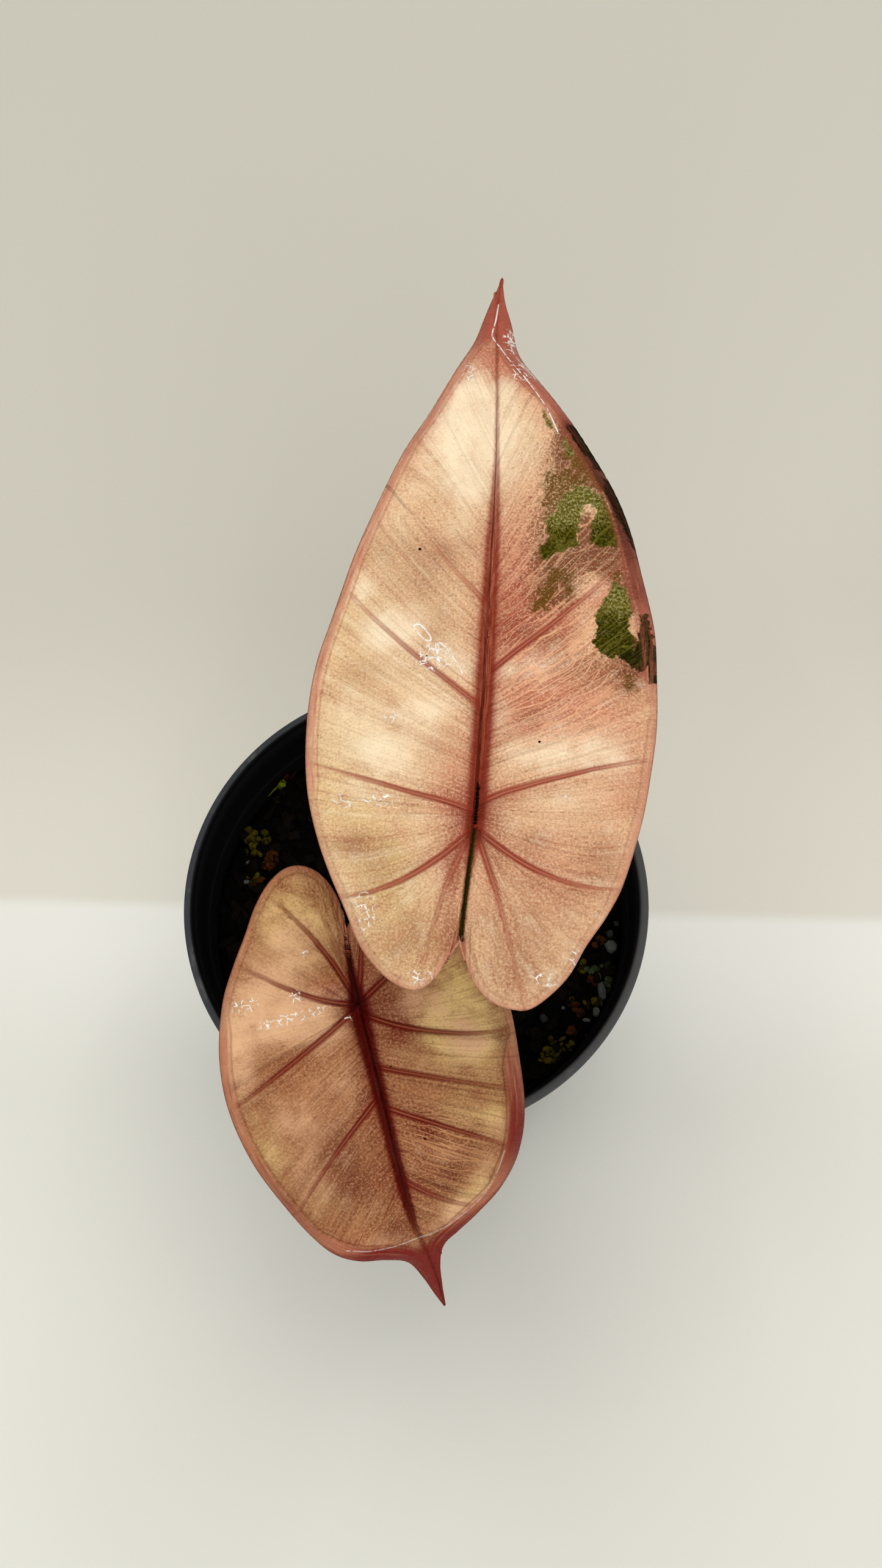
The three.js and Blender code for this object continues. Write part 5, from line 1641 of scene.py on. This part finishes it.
def scatter(name, soil, pot, places, sizes, slope, seed, material, square=1.0, turns=()):
    """Pieces strewn on the bed. Each is the unit pebble, made boxy by raising its coordinates'
    sizes to the power square, dented by a random relief, scaled, turned, tilted by random slopes
    and set a third of its height into the mix. The last pieces have turns of their own."""
    draw = np.random.default_rng(seed)
    ball, faces = pebble(PEBBLE_RINGS, PEBBLE_SIDES)
    count = len(places)
    ball = np.sign(ball) * np.abs(ball) ** square
    dents = 1 + draw.uniform(-0.2, 0.2, (count, len(ball), 1))
    shape = ball[None] * dents * sizes[:, None, :]
    turn = draw.uniform(0, 2 * np.pi, count)
    turn[count - len(turns):] = np.radians(turns)
    tilt = draw.normal(0, slope, (count, 2))
    cos, sin = np.cos(turn)[:, None], np.sin(turn)[:, None]
    x = shape[..., 0] * cos - shape[..., 1] * sin
    y = shape[..., 0] * sin + shape[..., 1] * cos
    z = shape[..., 2] + x * tilt[:, :1] + y * tilt[:, 1:]
    ground = soil_height(soil, places[:, 0], places[:, 1]) + sizes[:, 2] * 0.35
    solid = np.stack([x + places[:, :1], y + places[:, 1:2], z + ground[:, None]], -1)
    solid = solid.reshape(-1, 3)
    limit = wall_radius(pot, soil.top / MM) - pot.wall / MM - GAP
    far = np.hypot(solid[:, 0], solid[:, 1])
    solid[:, :2] *= np.minimum(1, limit / far)[:, None]
    every = [tuple(int(v) + i * len(ball) for v in face) for i in range(count) for face in faces]
    values = {"own": np.repeat(draw.uniform(0, 1, count), len(ball))}
    return add_piece(name, solid, every, material, (), values, None, smooth=False)


def strewn(count, seed):
    """Random places over the bed, evenly by area, clear of the crown."""
    draw = np.random.default_rng(seed)
    reach = STREWN_REACH * np.sqrt(draw.uniform(0, 1, count))
    angle = draw.uniform(0, 2 * np.pi, count)
    places = np.stack([reach * np.cos(angle), reach * np.sin(angle)], -1)
    from_crown = np.hypot(places[:, 0] - CROWN["x"], places[:, 1] - CROWN["y"])
    return places[from_crown > CROWN_CLEARANCE]


def make_soil_pieces(soil, pot):
    """Bark chips, pumice grains, and bits of moss, husk, shoots and lichen on the bed."""
    draw = np.random.default_rng(21)
    chips = strewn(soil.chips, 22)
    sizes = np.stack([draw.uniform(low, high, len(chips)) for low, high in CHIP_SPANS], -1)
    bark = crumb_finish("bark_skin", soil.bark, srgb(5, 4, 3), 0.85)
    scatter("bark_chips", soil, pot, chips, sizes, 0.3, 23, bark, square=0.6)
    grains = strewn(soil.grains, 24)
    sizes = draw.uniform(0.4, 1.1, (len(grains), 1)) * draw.uniform(0.7, 1.1, (len(grains), 3))
    stones = np.array(STONES, float)
    spots = np.vstack([grains, stones[:, :2]])
    sizes = np.vstack([sizes, stones[:, 2:5]])
    pumice = crumb_finish("pumice_skin", soil.pumice, srgb(30, 31, 30), 0.9)
    scatter("pumice_grains", soil, pot, spots, sizes, 0.2, 25, pumice, square=0.8, turns=stones[:, 5])
    for name, tone, seed, patches, laid in STREWN_BITS:
        table = np.array(patches, float)
        strips = np.array(laid, float).reshape(-1, 6)
        each = np.repeat(table, table[:, 4].astype(int), axis=0)
        spots = each[:, :2] + draw.normal(0, 1, (len(each), 2)) * each[:, 2:4]
        sizes = draw.uniform(0.4, 1.05, (len(spots), 3))
        skin = crumb_finish(name + "_skin", getattr(soil, tone), soil.bark, 0.95)
        spots = np.vstack([spots, strips[:, :2]])
        sizes = np.vstack([sizes, strips[:, 2:5]])
        scatter(name, soil, pot, spots, sizes, 0.4, seed, skin, turns=strips[:, 5])


def crumb_finish(name, main, dark, roughness):
    """Crumbs and chips: each piece's own tone between two colours, mottled."""
    f = Finish(name, {"Specular IOR Level": 0.08})
    where, _ = f.object_places()
    own = f.attribute("own")
    mottle = f.noise(where, 0.9, 4, 0.7)
    skin = f.mix((own * 0.8 + mottle * 0.7).smooth(0.2, 1.2), dark, main)
    f.paint(color=skin, roughness=roughness - mottle * 0.15)
    f.bump(mottle * 0.4, 0.8)
    return f.material


def soil_finish(soil):
    """Wet fines: nearly black crumbs with brown and mossy ones among them."""
    f = Finish("potting_mix_skin", {"Specular IOR Level": 0.08})
    where, _ = f.object_places()
    coarse = f.noise(where, 0.16, 4, 0.65)
    fine = f.noise(where, 1.1, 5, 0.75)
    crumbs = f.cell_edge(where, 0.55)
    skin = f.mix(fine.smooth(0.5, 0.7) * 0.7, soil.peat, soil.bark)
    skin = f.mix(coarse.smooth(0.58, 0.7) * fine.smooth(0.45, 0.6) * 0.5, skin, soil.moss)
    skin = f.mix(crumbs.smooth(0.12, 0), skin, (0.002, 0.0016, 0.001))
    f.paint(color=skin, roughness=0.8 + fine * 0.15)
    f.bump(fine * 0.7 + crumbs * 0.6, 1)
    return f.material


# Stage


def add_light(name, place, size, watts, tint=(1, 1, 1)):
    """A soft rectangular light, turned towards the plant."""
    data = bpy.data.lights.new(name, "AREA")
    data.shape = "RECTANGLE"
    data.size, data.size_y = size
    data.energy = watts
    data.color = tint
    lamp = bpy.data.objects.new(name, data)
    bpy.context.scene.collection.objects.link(lamp)
    lamp.location = place
    lamp.rotation_euler = (Vector(LIT_PLACE) - Vector(place)).to_track_quat("-Z", "Y").to_euler()
    return lamp


def floor_finish(stage):
    """Matt pale paper with a faint, wide unevenness. It is a step darker beyond a line that crosses the
    floor under the pot, and painted light makes it lighter towards that line on both sides.
    """
    f = Finish("pale_floor", {"Specular IOR Level": 0.0})
    where, (x, y, _) = f.object_places()
    cloud = f.noise(where, 0.004, 3)
    grain = f.noise(where, 0.3, 3)
    ahead = y + x * 0.133
    # Painted light: in front of the line the floor is painted lighter towards it, and beyond it lighter
    # near it and darker further off
    near = f.mix(ahead.smooth(-32, 14), stage.floor, srgb(250, 249, 240))
    far = f.mix(ahead.smooth(115, 16), srgb(212, 208, 194), srgb(235, 231, 217))
    paper = f.mix(ahead.smooth(18.5, 23), near, far)
    paper = f.mix(cloud.smooth(0.4, 0.7) * 0.15, paper, srgb(206, 202, 190))
    f.paint(color=paper, roughness=0.75 + grain * 0.1)
    return f.material


def add_camera(stage):
    """The camera's axis meets the rim's plane near its middle: it looks down at its elevation,
    rolled about its axis, and stands aside from the axis by two offsets in its own plane."""
    e, roll = math.radians(CAMERA["elevation"]), math.radians(CAMERA["roll"])
    ahead = Vector((0, math.cos(e), -math.sin(e)))
    up = Vector((0, math.sin(e), math.cos(e)))
    right = Vector((1, 0, 0))
    turned_right = math.cos(roll) * right + math.sin(roll) * up
    turned_up = -math.sin(roll) * right + math.cos(roll) * up
    place = Vector(CAMERA["rim"]) - ahead * CAMERA["distance"]
    place -= turned_right * CAMERA["aside"][0] + turned_up * CAMERA["aside"][1]
    data = bpy.data.cameras.new("camera")
    data.lens = stage.lens
    data.sensor_width = SENSOR_WIDTH
    data.clip_start, data.clip_end = 0.01, 20
    camera = bpy.data.objects.new("camera", data)
    bpy.context.scene.collection.objects.link(camera)
    turn = Matrix((turned_right, turned_up, -ahead)).transposed()
    camera.matrix_world = Matrix.Translation(place * MM) @ turn.to_4x4()
    bpy.context.scene.camera = camera


def make_stage(stage):
    """Floor, surrounding light, a large soft key overhead that casts no highlight, side
    boxes and small glint lights."""
    mesh = bpy.data.meshes.new("floor")
    corners = [(x * FLOOR_HALF, y * FLOOR_HALF, 0) for x, y in ((-1, -1), (1, -1), (1, 1), (-1, 1))]
    mesh.from_pydata(corners, [], [(0, 1, 2, 3)])
    mesh.materials.append(floor_finish(stage))
    floor = bpy.data.objects.new("floor", mesh)
    bpy.context.scene.collection.objects.link(floor)

    world = bpy.data.worlds.new("studio")
    world.use_nodes = True
    backdrop = world.node_tree.nodes["Background"]
    backdrop.inputs["Color"].default_value = (0.92, 0.92, 0.9, 1)
    backdrop.inputs["Strength"].default_value = stage.ambient
    bpy.context.scene.world = world
    bpy.context.scene.view_settings.view_transform = "Standard"

    key = add_light("key_light", KEY_PLACE, KEY_SIZE, stage.key_power, KEY_TINT)
    key.visible_glossy = False
    for name, place, part in BOXES:
        add_light(name, place, BOX_SIZE, stage.side_power * part)
    for name, place in GLINTS:
        add_light(name, place, GLINT_SIZE, stage.glint_power)
    add_camera(stage)


# Operators, panel and registration


class AROID_OT_stage(Operator):
    """Make the floor, the lights and the camera"""

    bl_idname = "aroid.make_stage"
    bl_label = "Stage"

    def execute(self, context):
        make_stage(context.scene.aroid.stage)
        return {"FINISHED"}


class AROID_OT_pot(Operator):
    """Make the nursery pot"""

    bl_idname = "aroid.make_pot"
    bl_label = "Pot"

    def execute(self, context):
        pot = context.scene.aroid.pot
        make_pot(pot, pot_finish(pot))
        return {"FINISHED"}


class AROID_OT_soil(Operator):
    """Make the potting mix with its chips, grains and moss"""

    bl_idname = "aroid.make_soil"
    bl_label = "Potting mix"

    def execute(self, context):
        plant = context.scene.aroid
        make_soil_bed(plant.soil, plant.pot, plant.stalks, soil_finish(plant.soil))
        make_soil_pieces(plant.soil, plant.pot)
        return {"FINISHED"}


class AROID_OT_stalks(Operator):
    """Make the crown and both stalks"""

    bl_idname = "aroid.make_stalks"
    bl_label = "Crown and stalks"

    def execute(self, context):
        plant = context.scene.aroid
        stalks = plant.stalks
        make_crown(plant.soil, stalks, crown_finish(stalks))
        upper = stalk_finish("upper_stalk_skin", stalks.upper, plant.upper.vein)
        lower = stalk_finish("lower_stalk_skin", stalks.lower, plant.lower.vein)
        make_stalk("stalk_upper", UPPER_STALK, upper)
        make_stalk("stalk_lower", LOWER_STALK, lower)
        return {"FINISHED"}


class AROID_OT_leaves(Operator):
    """Make both leaf blades"""

    bl_idname = "aroid.make_leaves"
    bl_label = "Leaf blades"

    def execute(self, context):
        plant = context.scene.aroid
        upper = leaf_finish("upper_leaf_skin", UPPER, plant.blades, plant.upper)
        lower = leaf_finish("lower_leaf_skin", LOWER, plant.blades, plant.lower)
        make_blade("leaf_upper", UPPER, upper, plant.blades)
        make_blade("leaf_lower", LOWER, lower, plant.blades)
        return {"FINISHED"}


class AROID_PT_panel(Panel):
    """Lists what the plant is made of"""

    bl_label = "Potted aroid"
    bl_idname = "AROID_PT_panel"
    bl_space_type = "VIEW_3D"
    bl_region_type = "UI"
    bl_category = "Aroid"

    def draw(self, context):
        plant = context.scene.aroid
        shown = (("stage",), ("pot",), ("soil",), ("stalks",), ("blades", "upper", "lower"))
        for maker, names in zip(MAKERS, shown, strict=True):
            box = self.layout.box()
            box.operator(maker.bl_idname)
            for name in names:
                settings = getattr(plant, name)
                for key in settings.__annotations__:
                    box.prop(settings, key)


GROUPS = (PotSettings, SoilSettings, StalkSettings, BladeSettings, UpperColours, LowerColours,
          StageSettings, AroidSettings)
MAKERS = (AROID_OT_stage, AROID_OT_pot, AROID_OT_soil, AROID_OT_stalks, AROID_OT_leaves)


def register():
    for part in (*GROUPS, *MAKERS, AROID_PT_panel):
        bpy.utils.register_class(part)
    bpy.types.Scene.aroid = PointerProperty(type=AroidSettings)


def unregister():
    del bpy.types.Scene.aroid
    for part in reversed((*GROUPS, *MAKERS, AROID_PT_panel)):
        bpy.utils.unregister_class(part)


def main():
    register()
    for make in (bpy.ops.aroid.make_stage, bpy.ops.aroid.make_pot, bpy.ops.aroid.make_soil,
                 bpy.ops.aroid.make_stalks, bpy.ops.aroid.make_leaves):
        make()
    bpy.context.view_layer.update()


if __name__ == "__main__":
    main()
